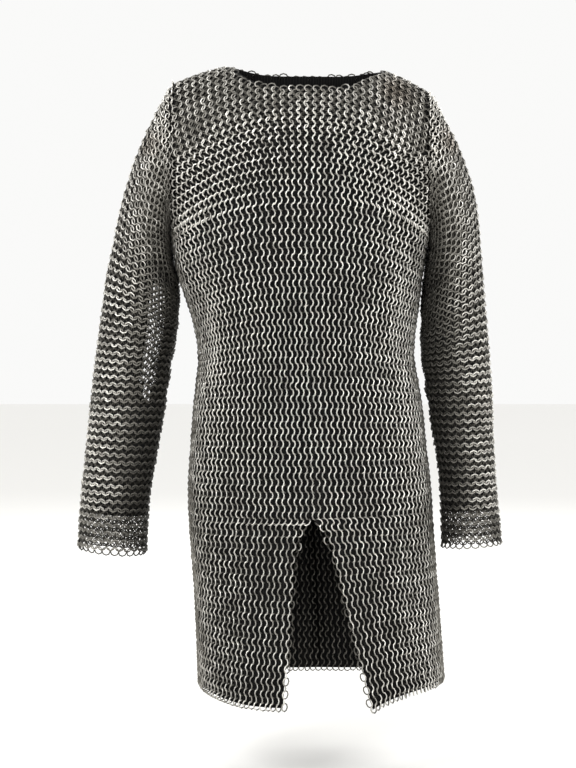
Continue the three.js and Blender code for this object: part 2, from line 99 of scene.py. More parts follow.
@dataclass(frozen=True)
class Curves:
    """Smooth curves through the rows of a table; its first column is the key."""

    columns: tuple[str, ...]
    rows: tuple[tuple[float, ...], ...]

    def read(self, column: str, place: np.ndarray) -> np.ndarray:
        """Read one column at places on the key column.

        Args:
            column: Name of the column to read.
            place: Places on the key column, held to the table's ends.

        Returns:
            The column's values there.
        """
        table = np.array(self.rows)
        keys = table[:, 0]
        values = table[:, self.columns.index(column)]
        slopes = np.empty_like(values)
        slopes[1:-1] = (values[2:] - values[:-2]) / (keys[2:] - keys[:-2])
        slopes[0] = (values[1] - values[0]) / (keys[1] - keys[0])
        slopes[-1] = (values[-1] - values[-2]) / (keys[-1] - keys[-2])
        row = np.clip(np.searchsorted(keys, place) - 1, 0, len(keys) - 2)
        span = keys[row + 1] - keys[row]
        t = np.clip((place - keys[row]) / span, 0, 1)
        return (
            (1 + 2 * t) * (1 - t) ** 2 * values[row]
            + t * (1 - t) ** 2 * span * slopes[row]
            + t**2 * (3 - 2 * t) * values[row + 1]
            + t**2 * (t - 1) * span * slopes[row + 1]
        )


def tangents(surface: Surface, u: np.ndarray, v: np.ndarray) -> tuple[np.ndarray, np.ndarray]:
    """Give a surface's unit directions along its two numbers.

    Args:
        surface: Points from two arrays of numbers.
        u: First number of each point.
        v: Second number of each point.

    Returns:
        Unit vectors along the first and along the second number.
    """
    along_u = surface(u + STEP, v) - surface(u - STEP, v)
    along_v = surface(u, v + STEP) - surface(u, v - STEP)
    return unit(along_u), unit(along_v)


# ---------------------------------------------------------------------- the body's surface
class Side(Enum):
    """A side of the wearer, by the sign of its X."""

    RIGHT = -1
    LEFT = 1


class Panel(Enum):
    """A body panel, by the sign of the Y that it faces."""

    FRONT = -1
    BACK = 1


@dataclass(frozen=True)
class SlitEdge:
    """How one edge of the front slit lies: its opening, its spread, and its flap's lift and sag."""

    opening: float
    opening_depth: float
    spread: float
    lift: float
    sag: float


@dataclass(frozen=True)
class SideShape:
    """The plane of an armhole, the shoulder point, the neck point and the edge of the slit."""

    armhole_x: float
    shoulder_z: float
    neck_x: float
    slit_edge: SlitEdge


@dataclass(frozen=True)
class Neckline:
    """A neck edge: its course at the middle, and the powers of its rounded-off corners."""

    course: float
    corner: float
    roundness: float


@dataclass(frozen=True)
class BodySurface:
    """The outer surface of the front and back, by how far across a course and by the course.

    A course is a level of the weave. It runs 0 to 1 from the shoulder line to the armpit, and one
    more for each side_step of side seam below. Across runs 0 at the middle to 1 at a course's end.
    """

    armpit_z: float = -245.0
    side_step: float = 100.0
    hem_course: float = 7.45
    slit_course: float = 4.95
    shoulder_fall: float = 2.5
    squareness: float = 2.4
    corner_sag: float = 3.0
    yoke_course: float = 0.4
    yoke_roundness: float = 2.2
    trough_end_share: float = 0.45
    seam_fade: float = 8.0
    shoulder_fade: float = 0.3
    armhole_reach: dict[Panel, float] = field(
        default_factory=lambda: {Panel.FRONT: 55.0, Panel.BACK: 65.0}
    )
    sides: dict[Side, SideShape] = field(
        default_factory=lambda: {
            Side.RIGHT: SideShape(-190, -20, -109, SlitEdge(-14, 12, -20, 0, 0)),
            Side.LEFT: SideShape(179, -31, 116, SlitEdge(9, 10, 70, 21, 28)),
        }
    )
    necklines: dict[Panel, Neckline] = field(
        default_factory=lambda: {
            Panel.FRONT: Neckline(0.365, 3.5, 1.4),
            Panel.BACK: Neckline(0.26, 3.0, 1.5),
        }
    )
    middles: dict[Panel, Curves] = field(
        default_factory=lambda: {
            Panel.FRONT: Curves(
                ("course", "x", "y", "z"),
                (
                    (0.0, 0, 0, 16),
                    (0.1, 0, -16, 13),
                    (0.2, 0, -32, 4),
                    (0.35, 0, -60, -22),
                    (0.5, 0, -87, -66),
                    (0.65, 0, -104, -117),
                    (0.8, 0, -112, -160),
                    (1.0, 0, -118, -197),
                    (1.5, 0, -120, -252),
                    (2.0, 0, -117, -313),
                    (2.6, 1, -111, -385),
                    (3.3, 4, -108, -466),
                    (4.15, 8, -112, -558),
                    (4.95, 11, -117, -638),
                    (6.0, 11, -122, -746),
                    (7.45, 11, -128, -905),
                ),
            ),
            Panel.BACK: Curves(
                ("course", "x", "y", "z"),
                (
                    (0.0, 0, 0, 16),
                    (0.1, 0, 18, 15),
                    (0.2, 0, 37, 8),
                    (0.35, 0, 65, -17),
                    (0.5, 0, 90, -61),
                    (0.65, 0, 107, -113),
                    (0.8, 0, 115, -157),
                    (1.0, 0, 118, -196),
                    (1.5, 0, 116, -250),
                    (2.0, 0, 107, -311),
                    (2.6, 0, 98, -383),
                    (3.3, 3, 96, -463),
                    (4.15, 7, 107, -557),
                    (4.95, 11, 116, -638),
                    (6.0, 17, 121, -742),
                    (7.45, 24, 126, -893),
                ),
            ),
        }
    )
    side_seams: Curves = Curves(
        ("course", "RIGHT", "LEFT", "RIGHT_lift", "LEFT_lift"),
        (
            (1.0, -190, 179, 0, 0),
            (1.29, -186, 173.5, 0, 0),
            (1.55, -180, 169, 0, 0),
            (1.74, -173, 167, 0, 0),
            (2.2, -158, 161, 0, 0),
            (2.65, -151, 157, 0, 0),
            (3.05, -154, 163.5, 0, 0),
            (3.45, -158.5, 170, 0, 0),
            (3.95, -162, 175, 0, 0),
            (4.55, -166, 182, 0, 1),
            (5.2, -164, 186, 0, 3),
            (6.15, -157, 193, 1, 7),
            (7.45, -152, 202, 3, 11),
        ),
    )
    # Each trough: from x0, z0 to x1, z1 as seen from the front, its depth and its width.
    troughs: dict[Panel, tuple[tuple[float, ...], ...]] = field(
        default_factory=lambda: {
            Panel.FRONT: (
                (-172, -206, -112, -118, 5.0, 21),
                (-166, -262, -116, -216, 4.2, 17),
                (-152, -290, -139, -430, 5.0, 18),
                (162, -204, 108, -122, 4.6, 20),
                (158, -266, 112, -222, 4.0, 16),
                (150, -286, 139, -410, 4.5, 17),
                (-104, -428, -24, -452, 2.0, 22),
                (58, -446, 132, -418, 2.2, 20),
                (-98, -570, -112, -900, 3.2, 20),
                (-58, -700, -64, -910, 2.4, 15),
                (150, -640, 162, -890, 3.4, 21),
                (112, -735, 124, -905, 2.6, 14),
            ),
            Panel.BACK: (
                (2, -95, -3, -345, 4.5, 32),
                (-172, -210, -108, -132, 4.8, 21),
                (160, -200, 104, -126, 4.8, 20),
                (-150, -290, -134, -440, 4.6, 18),
                (150, -284, 132, -424, 5.0, 18),
                (-92, -402, 6, -424, 2.6, 20),
                (30, -398, 104, -420, 2.4, 22),
                (-86, -620, -92, -895, 3.6, 22),
                (-18, -680, -14, -895, 2.8, 17),
                (52, -600, 66, -895, 3.4, 21),
                (138, -660, 150, -885, 3.0, 19),
            ),
        }
    )

    def course_end(self, panel: Panel, side: Side, course: np.ndarray) -> np.ndarray:
        """Give the end of a course, on the armhole's oval or on the side seam below it."""
        shape = self.sides[side]
        turn = np.pi * np.clip(course, 0, 1)
        middle_z = (shape.shoulder_z + self.armpit_z) / 2
        half_height = (shape.shoulder_z - self.armpit_z) / 2
        armhole = np.stack(
            [
                np.full_like(course, shape.armhole_x),
                panel.value * self.armhole_reach[panel] * np.sin(turn),
                middle_z + half_height * np.cos(turn),
            ],
            -1,
        )
        lift = self.side_seams.read(f"{side.name}_lift", course)
        seam = np.stack(
            [
                self.side_seams.read(side.name, course),
                np.zeros_like(course),
                self.armpit_z - (course - 1) * self.side_step + lift,
            ],
            -1,
        )
        return np.where((course <= 1)[..., None], armhole, seam)

    def slit_share(self, panel: Panel, course: np.ndarray) -> np.ndarray:
        """Say how far down the slit a course lies: 0 at its top and above, 1 at the hem."""
        if panel is Panel.BACK:
            return np.zeros_like(course)
        return np.maximum((course - self.slit_course) / (self.hem_course - self.slit_course), 0)

    def slit_opening(self, panel: Panel, side: Side, course: np.ndarray) -> np.ndarray:
        """Give how far the slit's edge has drawn back at its rounded top, with its sign."""
        if panel is Panel.BACK:
            return np.zeros_like(course)
        edge = self.sides[side].slit_edge
        depth = np.maximum(course - self.slit_course, 0) * self.side_step
        return edge.opening * (1 - np.exp(-depth / edge.opening_depth))

    def course_middle(self, panel: Panel, side: Side, course: np.ndarray) -> np.ndarray:
        """Give the middle of a course, or the edge of the slit where it has one."""
        middle = np.stack([self.middles[panel].read(axis, course) for axis in "xyz"], -1)
        edge = self.sides[side].slit_edge
        share = self.slit_share(panel, course)
        middle[..., 0] += self.slit_opening(panel, side, course) + edge.spread * share
        middle[..., 2] += edge.lift * share
        return middle

    def smooth(
        self, panel: Panel, side: Side, across: np.ndarray, course: np.ndarray
    ) -> np.ndarray:
        """Give points of the surface without its troughs.

        Args:
            panel: Front or back.
            side: The half of the panel.
            across: 0 at the middle to 1 at the end of the course.
            course: The course of each point.

        Returns:
            Points in millimetres.
        """
        across = np.clip(across, 0, 1)
        course = np.clip(course, 0, self.hem_course)
        start = self.course_middle(panel, side, course)
        end = self.course_end(panel, side, course)
        closed = smoothstep(course, self.yoke_course, 1)
        turn = across * np.pi / 2
        power = 2 / self.squareness
        out = (1 - closed) * across + closed * np.maximum(np.sin(turn), 0) ** power
        kept = (1 - closed) * (1 - across**self.yoke_roundness)
        kept = kept + closed * np.maximum(np.cos(turn), 0) ** power
        edge = self.sides[side].slit_edge
        sag = edge.sag * self.slit_share(panel, course) * (1 - out) ** self.corner_sag
        way = end - start
        return np.stack(
            [
                start[..., 0] + way[..., 0] * out,
                start[..., 1] + way[..., 1] * (1 - kept),
                start[..., 2] + way[..., 2] * out**self.shoulder_fall - sag,
            ],
            -1,
        )

    def outward(
        self,
        panel: Panel,
        side: Side,
        surface: Surface,
        across: np.ndarray,
        course: np.ndarray,
    ) -> np.ndarray:
        """Give the outward unit normals of one of this body's surfaces."""
        along_across, along_course = tangents(surface, np.clip(across, STEP, 1 - 5 * STEP), course)
        return unit(np.cross(along_across, along_course)) * panel.value * side.value

    def trough_depth(self, panel: Panel, points: np.ndarray) -> np.ndarray:
        """Add up the depths of a panel's troughs at points."""
        depth = np.zeros(points.shape[:-1])
        for x0, z0, x1, z1, deepest, width in self.troughs[panel]:
            line = np.array([x1 - x0, z1 - z0])
            offset = points[..., [0, 2]] - np.array([x0, z0])
            share = np.clip(offset @ line / (line @ line), 0, 1)
            away = np.linalg.norm(offset - share[..., None] * line, axis=-1) / width
            kept = self.trough_end_share + (1 - self.trough_end_share) * np.sin(np.pi * share)
            depth += deepest * np.exp(-away * away) * kept
        return depth

    def troughed(self, panel: Panel, side: Side) -> Surface:
        """Give the surface of half a panel with its troughs, as a function of across and course."""

        def bare(across: np.ndarray, course: np.ndarray) -> np.ndarray:
            return self.smooth(panel, side, across, course)

        def dressed(across: np.ndarray, course: np.ndarray) -> np.ndarray:
            points = bare(across, course)
            fade = 1 - np.clip(across, 0, 1) ** self.seam_fade
            fade = fade * np.minimum(np.maximum(course, 0) / self.shoulder_fade, 1)
            depth = self.trough_depth(panel, points) * fade
            return points - self.outward(panel, side, bare, across, course) * depth[..., None]

        return dressed

    def top_course(self, panel: Panel, side: Side, across: np.ndarray) -> np.ndarray:
        """Give the first course of each column, lower inside the neck opening."""
        shape = self.sides[side]
        neck = self.necklines[panel]
        share = np.clip(across * shape.armhole_x / shape.neck_x, 0, 1)
        return neck.course * (1 - share**neck.corner) ** (1 / neck.roundness)


# ---------------------------------------------------------------------- the sleeves' surfaces
SLEEVE_COLUMNS = ("along", "outer_x", "outer_z", "inner_x", "inner_z", "y", "front", "back")


@dataclass(frozen=True)
class SleeveSurface:
    """The outer surface of a sleeve, by degrees around from its outer line and by how far along.

    Each section is an oval that stands on the line from its outer point to its inner point.
    """

    side: Side
    sections: Curves
    # Each trough: where along, where around, its depth, and its reach along and around.
    troughs: tuple[tuple[float, ...], ...]
    cuff_along: float = 8.2

    def smooth(self, around: np.ndarray, along: np.ndarray) -> np.ndarray:
        """Give points of the surface without its troughs."""
        along = np.clip(along, 0, self.cuff_along)
        read = {name: self.sections.read(name, along) for name in SLEEVE_COLUMNS[1:]}
        turn = np.radians(around)
        outer_share = (1 + np.cos(turn)) / 2
        reach = np.where(np.sin(turn) > 0, read["front"], read["back"])
        return np.stack(
            [
                read["inner_x"] + (read["outer_x"] - read["inner_x"]) * outer_share,
                read["y"] - reach * np.sin(turn),
                read["inner_z"] + (read["outer_z"] - read["inner_z"]) * outer_share,
            ],
            -1,
        )

    def outward(self, surface: Surface, around: np.ndarray, along: np.ndarray) -> np.ndarray:
        """Give the outward unit normals of one of this sleeve's surfaces."""
        along_around, down = tangents(surface, around, along)
        return unit(np.cross(along_around, down)) * self.side.value

    def troughed(self, around: np.ndarray, along: np.ndarray) -> np.ndarray:
        """Give points of the surface with its troughs."""
        points = self.smooth(around, along)
        depth = np.zeros(points.shape[:-1])
        for at_along, at_around, deepest, reach_along, reach_around in self.troughs:
            off_along = (along - at_along) / reach_along
            off_around = (around - at_around) / reach_around
            depth += deepest * np.exp(-off_along * off_along - off_around * off_around)
        return points - self.outward(self.smooth, around, along) * depth[..., None]


RIGHT_SLEEVE = SleeveSurface(
    Side.RIGHT,
    Curves(
        SLEEVE_COLUMNS,
        (
            (0.0, -190, -20, -190, -245, 0, 55, 65),
            (0.5, -204, -43, -190.8, -250, 0, 59, 67),
            (1.0, -219, -71, -190.3, -258, 0, 62, 69),
            (1.5, -234, -102, -188.7, -268, 0, 64, 69),
            (2.0, -247, -134, -187, -279, 0, 65, 68),
            (2.5, -258, -168, -183.5, -292, 0, 65, 66),
            (3.0, -268, -206, -180, -306, 0, 63, 64),
            (3.5, -277, -250, -178.5, -325, 0, 60, 61),
            (4.0, -287, -297, -178.7, -345, 0, 57, 57),
            (4.5, -294, -348, -181.5, -372, -1, 54, 54),
            (5.5, -307, -449, -193, -455, -4, 52, 52),
            (6.5, -316, -540, -209, -546, -10, 51, 51),
            (7.3, -323, -609, -221, -616, -15, 50, 50),
            (8.2, -328, -688, -225.5, -697, -20, 50, 50),
        ),
    ),
    (
        (3.3, 128, 5.0, 0.22, 34),
        (4.1, 225, 4.2, 0.20, 38),
        (5.15, 150, 4.6, 0.16, 42),
        (5.6, 205, 3.8, 0.15, 36),
        (6.3, 140, 2.8, 0.20, 30),
    ),
)
LEFT_SLEEVE = SleeveSurface(
    Side.LEFT,
    Curves(
        SLEEVE_COLUMNS,
        (
            (0.0, 179, -31, 179, -245, 0, 55, 65),
            (0.5, 191, -48, 179.9, -250, 0, 59, 67),
            (1.0, 205, -73, 179, -258, 0, 62, 69),
            (1.5, 221, -103, 176.9, -268, 0, 64, 70),
            (2.0, 236, -140, 174.6, -280, 0, 66, 70),
            (2.5, 247, -177, 172.5, -296, 0, 66, 69),
            (3.0, 253, -215, 170, -312, 0, 64, 67),
            (3.5, 257, -258, 168, -336, 0, 62, 64),
            (4.0, 261, -306, 167.2, -361, 0, 59, 60),
            (4.5, 266, -362, 167.5, -391, -1, 57, 57),
            (5.5, 273, -452, 172.8, -458, -4, 55, 55),
            (6.5, 276, -540, 188, -544, -10, 54, 54),
            (7.3, 280, -606, 195, -610, -15, 53, 53),
            (8.2, 287, -680, 197, -686, -20, 52, 52),
        ),
    ),
    (
        (3.2, 132, 4.6, 0.20, 36),
        (4.0, 218, 4.4, 0.21, 36),
        (5.3, 158, 4.2, 0.17, 40),
        (5.8, 200, 3.4, 0.15, 34),
        (6.9, 145, 2.6, 0.22, 30),
    ),
)


# How far apart a sleeve's rings lie along a row and from row to row, by how far along. The rows
# are pushed up tight against each armhole.
RIGHT_SPACING = Curves(
    ("along", "pitch", "row"),
    (
        (0.0, 8.6, 7.6),
        (0.5, 10.4, 7.4),
        (1.2, 11.2, 7.1),
        (3.0, 11.2, 6.6),
        (5.0, 11.2, 6.3),
        (8.2, 11.2, 6.2),
    ),
)
LEFT_SPACING = Curves(
    ("along", "pitch", "row"),
    (
        (0.0, 6.2, 7.6),
        (0.35, 7.0, 7.4),
        (0.75, 10.4, 7.2),
        (1.2, 11.2, 7.1),
        (3.0, 11.2, 6.6),
        (5.0, 11.2, 6.3),
        (8.2, 11.2, 6.2),
    ),
)


# ---------------------------------------------------------------------- where the rings go
@dataclass
class RingPlaces:
    """The places of many rings: centres, outward and row directions, leans, tones, and how dark
    each is painted, mostly painted shade.
    """

    centres: np.ndarray
    outward: np.ndarray
    row_way: np.ndarray
    leans: np.ndarray
    tones: np.ndarray
    grime: np.ndarray

    def kept(self, keep: np.ndarray) -> RingPlaces:
        """Give the places for which keep is true."""
        return RingPlaces(*(getattr(self, item.name)[keep] for item in fields(self)))


@dataclass(frozen=True)
class Weave:
    """The mail itself: its ring, how rings lean, and how evenly they hang."""

    bore: float = 10.0
    wire: float = 1.6
    edge_room: float = 5.2  # least distance from a cut edge to the middle of a ring
    least_lean: float = 9.0  # degrees, where the mail is pulled wide open
    most_lean: float = 60.0
    lean_jitter: float = 3.5
    place_jitter: float = 0.3
    seed: int = 41

    @property
    def mean_radius(self) -> float:
        """Radius of the ring's centreline."""
        return (self.bore + self.wire) / 2

    def places(
        self,
        surface: Surface,
        outward: Callable[[Surface, np.ndarray, np.ndarray], np.ndarray],
        u: np.ndarray,
        v: np.ndarray,
        row_runs_along_v: bool,
        odd_row: np.ndarray,
        pitch: np.ndarray,
        grime: np.ndarray,
        lead: str,
    ) -> RingPlaces:
        """Set rings into the middle of the mail's thickness.

        A ring leans until its near side just covers the far side of the next one in its row.

        Args:
            surface: The outer surface.
            outward: Gives the outward normals of a surface at two numbers.
            u: First number of each ring's place.
            v: Second number of each ring's place.
            row_runs_along_v: Whether a row of rings follows the second number.
            odd_row: True for the rings of every other row.
            pitch: Distance between the rings of a row, at each ring.
            grime: How dark each ring is painted, from 0 to 1, mostly painted shade.
            lead: Name of the stretch of mail, which sets its own unevenness.

        Returns:
            The places of the rings.
        """
        random = np.random.default_rng([self.seed, *lead.encode()])
        normal = outward(surface, u, v)
        along_u, along_v = tangents(surface, u, v)
        down = along_u if row_runs_along_v else along_v
        row_way = unit(np.cross(down, normal))
        jitter = random.normal(0, self.place_jitter, normal.shape)
        centres = surface(u, v) - normal * (MAIL_THICKNESS / 2) + jitter
        lean = np.degrees(np.arccos(np.clip(pitch / (2 * self.mean_radius), 0, 1)))
        lean = np.clip(lean, self.least_lean, self.most_lean)
        lean = np.where(odd_row, -lean, lean) + random.normal(0, self.lean_jitter, len(u))
        return RingPlaces(centres, normal, row_way, np.radians(lean), random.random(len(u)), grime)


@dataclass(frozen=True)
class BodyWeave:
    """How the rows and columns of rings lie on the front and back."""

    weave: Weave
    body: BodySurface
    # How far apart rings lie along a row and from row to row, above the armpit.
    spacing: Curves = Curves(
        ("course", "pitch", "row"),
        (
            (0.0, 11.8, 6.2),
            (0.35, 11.7, 6.3),
            (0.5, 11.4, 6.6),
            (0.62, 10.3, 7.4),
            (0.75, 9.5, 8.0),
            (1.0, 8.8, 8.7),
            (1.5, 8.5, 8.95),
        ),
    )
    quarter_columns: dict[Panel, float] = field(
        default_factory=lambda: {Panel.FRONT: 28.5, Panel.BACK: 28.0}
    )
    # Unlike the front, the back's even rows start half a pitch off, because rows link over the
    # shoulder.
    row_start: dict[Panel, float] = field(
        default_factory=lambda: {Panel.FRONT: 0.0, Panel.BACK: 0.5}
    )
    # Painted shade under the arms and at the sides, and darker down the skirt.
    armpit_grime: float = 0.3
    side_grime: float = 0.42
    skirt_grime: float = 0.2
    row_blur: float = 3.0  # rows over which uneven row heights are spread out
    slit_room: float = 3.4  # least distance from the slit's edge to the middle of a ring
    armhole_room: float = 2.6

    def row_courses(self) -> np.ndarray:
        """Give the course of each row, both panels alike, from the shoulder line to the hem."""
        course = np.linspace(0, self.body.hem_course, 4000)
        middle = np.stack([self.body.middles[Panel.FRONT].read(axis, course) for axis in "xyz"], -1)
        step = np.linalg.norm(np.diff(middle, axis=0), axis=1)
        row_height = self.spacing.read("row", (course[1:] + course[:-1]) / 2)
        rows = np.concatenate([[0], np.cumsum(step / row_height)])
        last = rows[-1] - self.weave.edge_room / self.spacing.rows[-1][2]
        count = int(last)
        return np.interp((np.arange(count) + 0.5) * last / (count - 0.5), rows, course)

    def even_rows(self, surface: Surface, across: np.ndarray) -> np.ndarray:
        """Space the rows evenly down each column, so that none bunch up beside the armpit.

        Args:
            surface: Half a panel's surface.
            across: Where the columns lie.

        Returns:
            The course of each row (down) at each column (across).
        """
        rows = self.row_courses()
        reach = np.arange(-3 * self.row_blur, 3 * self.row_blur + 1)
        weights = np.exp(-0.5 * (reach / self.row_blur) ** 2)
        weights /= weights.sum()
        course = np.linspace(0, self.body.hem_course, 1500)
        evened = np.empty((len(rows), len(across)))
        for number, place in enumerate(across):
            line = surface(np.full_like(course, place), course)
            length = np.concatenate([[0], np.cumsum(np.linalg.norm(np.diff(line, axis=0), axis=1))])
            down = np.interp(rows, course, length)
            steps = np.pad(np.diff(down), len(reach) // 2, mode="edge")
            even = down[0] + np.concatenate([[0], np.cumsum(np.convolve(steps, weights, "valid"))])
            even = down[0] + (even - down[0]) * (down[-1] - down[0]) / (even[-1] - down[0])
            evened[:, number] = np.interp(even, length, course)
        return evened

    def half(self, panel: Panel, side: Side) -> tuple[RingPlaces, np.ndarray]:
        """Lay the rings of half a panel.

        Args:
            panel: Front or back.
            side: The half of it.

        Returns:
            The rings' places, and the course of each ring.
        """
        surface = self.body.troughed(panel, side)
        coarse, fine = np.linspace(0, 1, 21), np.linspace(0, 1, 240)
        across_all, course_all, odd_all, pitch_all = [], [], [], []
        for row, evened in enumerate(self.even_rows(surface, coarse)):
            course = np.interp(fine, coarse, evened)
            line = surface(fine, course)
            opened = abs(float(self.body.slit_opening(panel, side, course[0])))
            length = np.concatenate([[0], np.cumsum(np.linalg.norm(np.diff(line, axis=0), axis=1))])
            length += opened
            pitch = self.row_pitch(panel, float(course[-1]), length[-1])
            start = (self.row_start[panel] + 0.5 * (row % 2)) % 1
            column = np.arange(start, length[-1] / pitch + 1e-6, 1.0)
            if side is Side.LEFT and start == 0 and opened == 0:
                column = column[1:]
            if opened > 0:
                column = column[column * pitch > opened + self.slit_room]
            if course[-1] <= 1:
                column = column[column * pitch < length[-1] - self.armhole_room]
            elif panel is Panel.BACK:
                column = column[column * pitch < length[-1] - 0.25 * pitch]
            across = np.interp(column * pitch, length, fine)
            across_all.append(across)
            course_all.append(np.interp(across, coarse, evened))
            odd_all.append(np.full(len(column), row % 2 == 1))
            pitch_all.append(np.full(len(column), pitch))
        across, course = np.concatenate(across_all), np.concatenate(course_all)
        odd, pitches = np.concatenate(odd_all), np.concatenate(pitch_all)
        places = self.weave.places(
            surface,
            lambda shape, u, v: self.body.outward(panel, side, shape, u, v),
            np.clip(across, STEP, 1 - 5 * STEP),
            course,
            False,
            odd,
            pitches,
            self.grime(across, course),
            f"{panel.name} {side.name}",
        )
        keep = self.clear_of_neck(panel, side, surface, across, course, places.centres)
        return places.kept(keep), course[keep]

    def row_pitch(self, panel: Panel, end_course: float, length: float) -> float:
        """Give the pitch along a row: from the table in the yoke, by whole columns further down."""
        even_pitch = length / self.quarter_columns[panel]
        if end_course >= 1:
            return even_pitch
        pitch = float(self.spacing.read("pitch", np.array(end_course)))
        return pitch + end_course**4 * (even_pitch - pitch)

    def grime(self, across: np.ndarray, course: np.ndarray) -> np.ndarray:
        """Say how dark each ring is painted: painted shade most under the arms and less at the
        sides, and darker down the skirt.
        """
        near_armpit = np.exp(-(((course - 1.0) / 0.75) ** 2))
        armpit = self.armpit_grime * smoothstep(across, 0.72, 1.0) * near_armpit
        sides = self.side_grime * smoothstep(across, 0.55, 0.95) * smoothstep(course, 0.6, 1.4)
        skirt = self.skirt_grime * smoothstep(course, 4.2, 5.4)
        return np.clip(armpit + sides + skirt, 0, 1)

    def clear_of_neck(
        self,
        panel: Panel,
        side: Side,
        surface: Surface,
        across: np.ndarray,
        course: np.ndarray,
        centres: np.ndarray,
    ) -> np.ndarray:
        """Say which rings lie outside the neck opening with room to its edge."""
        shape = self.body.sides[side]
        edge_across = np.linspace(0, shape.neck_x / shape.armhole_x, 160)
        edge = surface(edge_across, self.body.top_course(panel, side, edge_across))
        away = np.linalg.norm(centres[:, None] - edge[None], axis=-1).min(axis=1)
        return (course > self.body.top_course(panel, side, across)) & (away > self.weave.edge_room)


@dataclass(frozen=True)
class SleeveWeave:
    """How the rows and columns of rings lie on a sleeve, where rows run down the arm.

    Rows are counted both ways round from the outer line, and run out where they meet on the inner
    line, so the sleeve narrows towards the wrist.
    """

    weave: Weave
    sleeve: SleeveSurface
    spacing: Curves  # pitch along a row, and from row to row, by how far along
    outer_weight: float = 0.72  # how much of the even spacing is measured on the outer line
    seam_gap: float = 0.4  # room at the armhole, where the body's rows begin
    meeting_room: float = 0.35  # share of a row height that rows keep from the inner line
    # Painted shade along the inner line, and darker round the cuff.
    inner_grime: float = 0.85
    cuff_grime: float = 0.5

    def stations(self) -> np.ndarray:
        """Give how far along each whole and half pitch lies, from armhole to cuff."""
        along = np.linspace(0, self.sleeve.cuff_along, 3000)
        outer = self.sleeve.smooth(np.zeros_like(along), along)
        inner = self.sleeve.smooth(np.full_like(along, 180.0), along)
        steps = [np.linalg.norm(np.diff(line, axis=0), axis=1) for line in (outer, inner)]
        even = self.outer_weight * steps[0] + (1 - self.outer_weight) * steps[1]
        length = np.concatenate([[0], np.cumsum(even)])
        keep = (length > self.seam_gap) & (length < length[-1] - self.weave.edge_room)
        pitch = self.spacing.read("pitch", along)
        halves = np.concatenate([[0], np.cumsum(2 * np.diff(length) / pitch[1:])])[keep]
        count = 2 * round((halves[-1] - halves[0]) / 2) + 1
        return np.interp(np.linspace(halves[0], halves[-1], count), halves, along[keep])

    def half_round(self, along: float, front: bool) -> tuple[np.ndarray, np.ndarray]:
        """Give degrees around and arc lengths from the outer line to the inner line, one way."""
        turn = np.linspace(0, 180, 361)
        around = turn if front else 360 - turn
        line = self.sleeve.troughed(around, np.full_like(around, along))
        length = np.concatenate([[0], np.cumsum(np.linalg.norm(np.diff(line, axis=0), axis=1))])
        return around, length

    def all_round(self) -> tuple[RingPlaces, np.ndarray]:
        """Lay the rings of the sleeve.

        Returns:
            The rings' places, and how far along each ring lies.
        """
        around_all, along_all, odd_all, pitch_all = [], [], [], []
        for place, along in enumerate(self.stations()):
            row_height = float(self.spacing.read("row", np.array(along)))
            for front in (True, False):
                turn, length = self.half_round(along, front)
                rows = np.arange(place % 2, length[-1] / row_height - self.meeting_room, 2)
                if not front and place % 2 == 0:
                    rows = rows[1:]
                around_all.append(np.interp(rows * row_height, length, turn))
                along_all.append(np.full(len(rows), along))
                odd_all.append(np.full(len(rows), place % 2 == 1))
                pitch = float(self.spacing.read("pitch", np.array(along)))
                pitch_all.append(np.full(len(rows), pitch))
        around, along = np.concatenate(around_all), np.concatenate(along_all)
        places = self.weave.places(
            self.sleeve.troughed,
            self.sleeve.outward,
            around,
            np.clip(along, STEP, self.sleeve.cuff_along - STEP),
            True,
            np.concatenate(odd_all),
            np.concatenate(pitch_all),
            self.grime(around, along),
            f"sleeve {self.sleeve.side.name}",
        )
        return places, along

    def grime(self, around: np.ndarray, along: np.ndarray) -> np.ndarray:
        """Say how dark each ring is painted: painted shade most along the inner line, and darker
        round the cuff.
        """
        inner = self.inner_grime * smoothstep(np.abs(around - 180), 125, 48)
        cuff = self.cuff_grime * smoothstep(self.sleeve.cuff_along - along, 0.75, 0.45)
        return np.maximum(inner, cuff)


# ---------------------------------------------------------------------- node trees
def add_node(
    tree: bpy.types.NodeTree,
    kind: str,
    settings: dict[str, object] | None = None,
    inputs: dict[str | int, object] | None = None,
) -> bpy.types.Node:
    """Add a node with its settings and its inputs.

    Args:
        tree: The tree it goes into.
        kind: Blender's name of the node type.
        settings: The node's own settings.
        inputs: By socket name or number, a value or the output socket to link from.

    Returns:
        The node.
    """
    node = tree.nodes.new(kind)
    for name, value in (settings or {}).items():
        setattr(node, name, value)
    for name, value in (inputs or {}).items():
        if isinstance(value, bpy.types.NodeSocket):
            tree.links.new(value, node.inputs[name])
        else:
            node.inputs[name].default_value = value
    return node


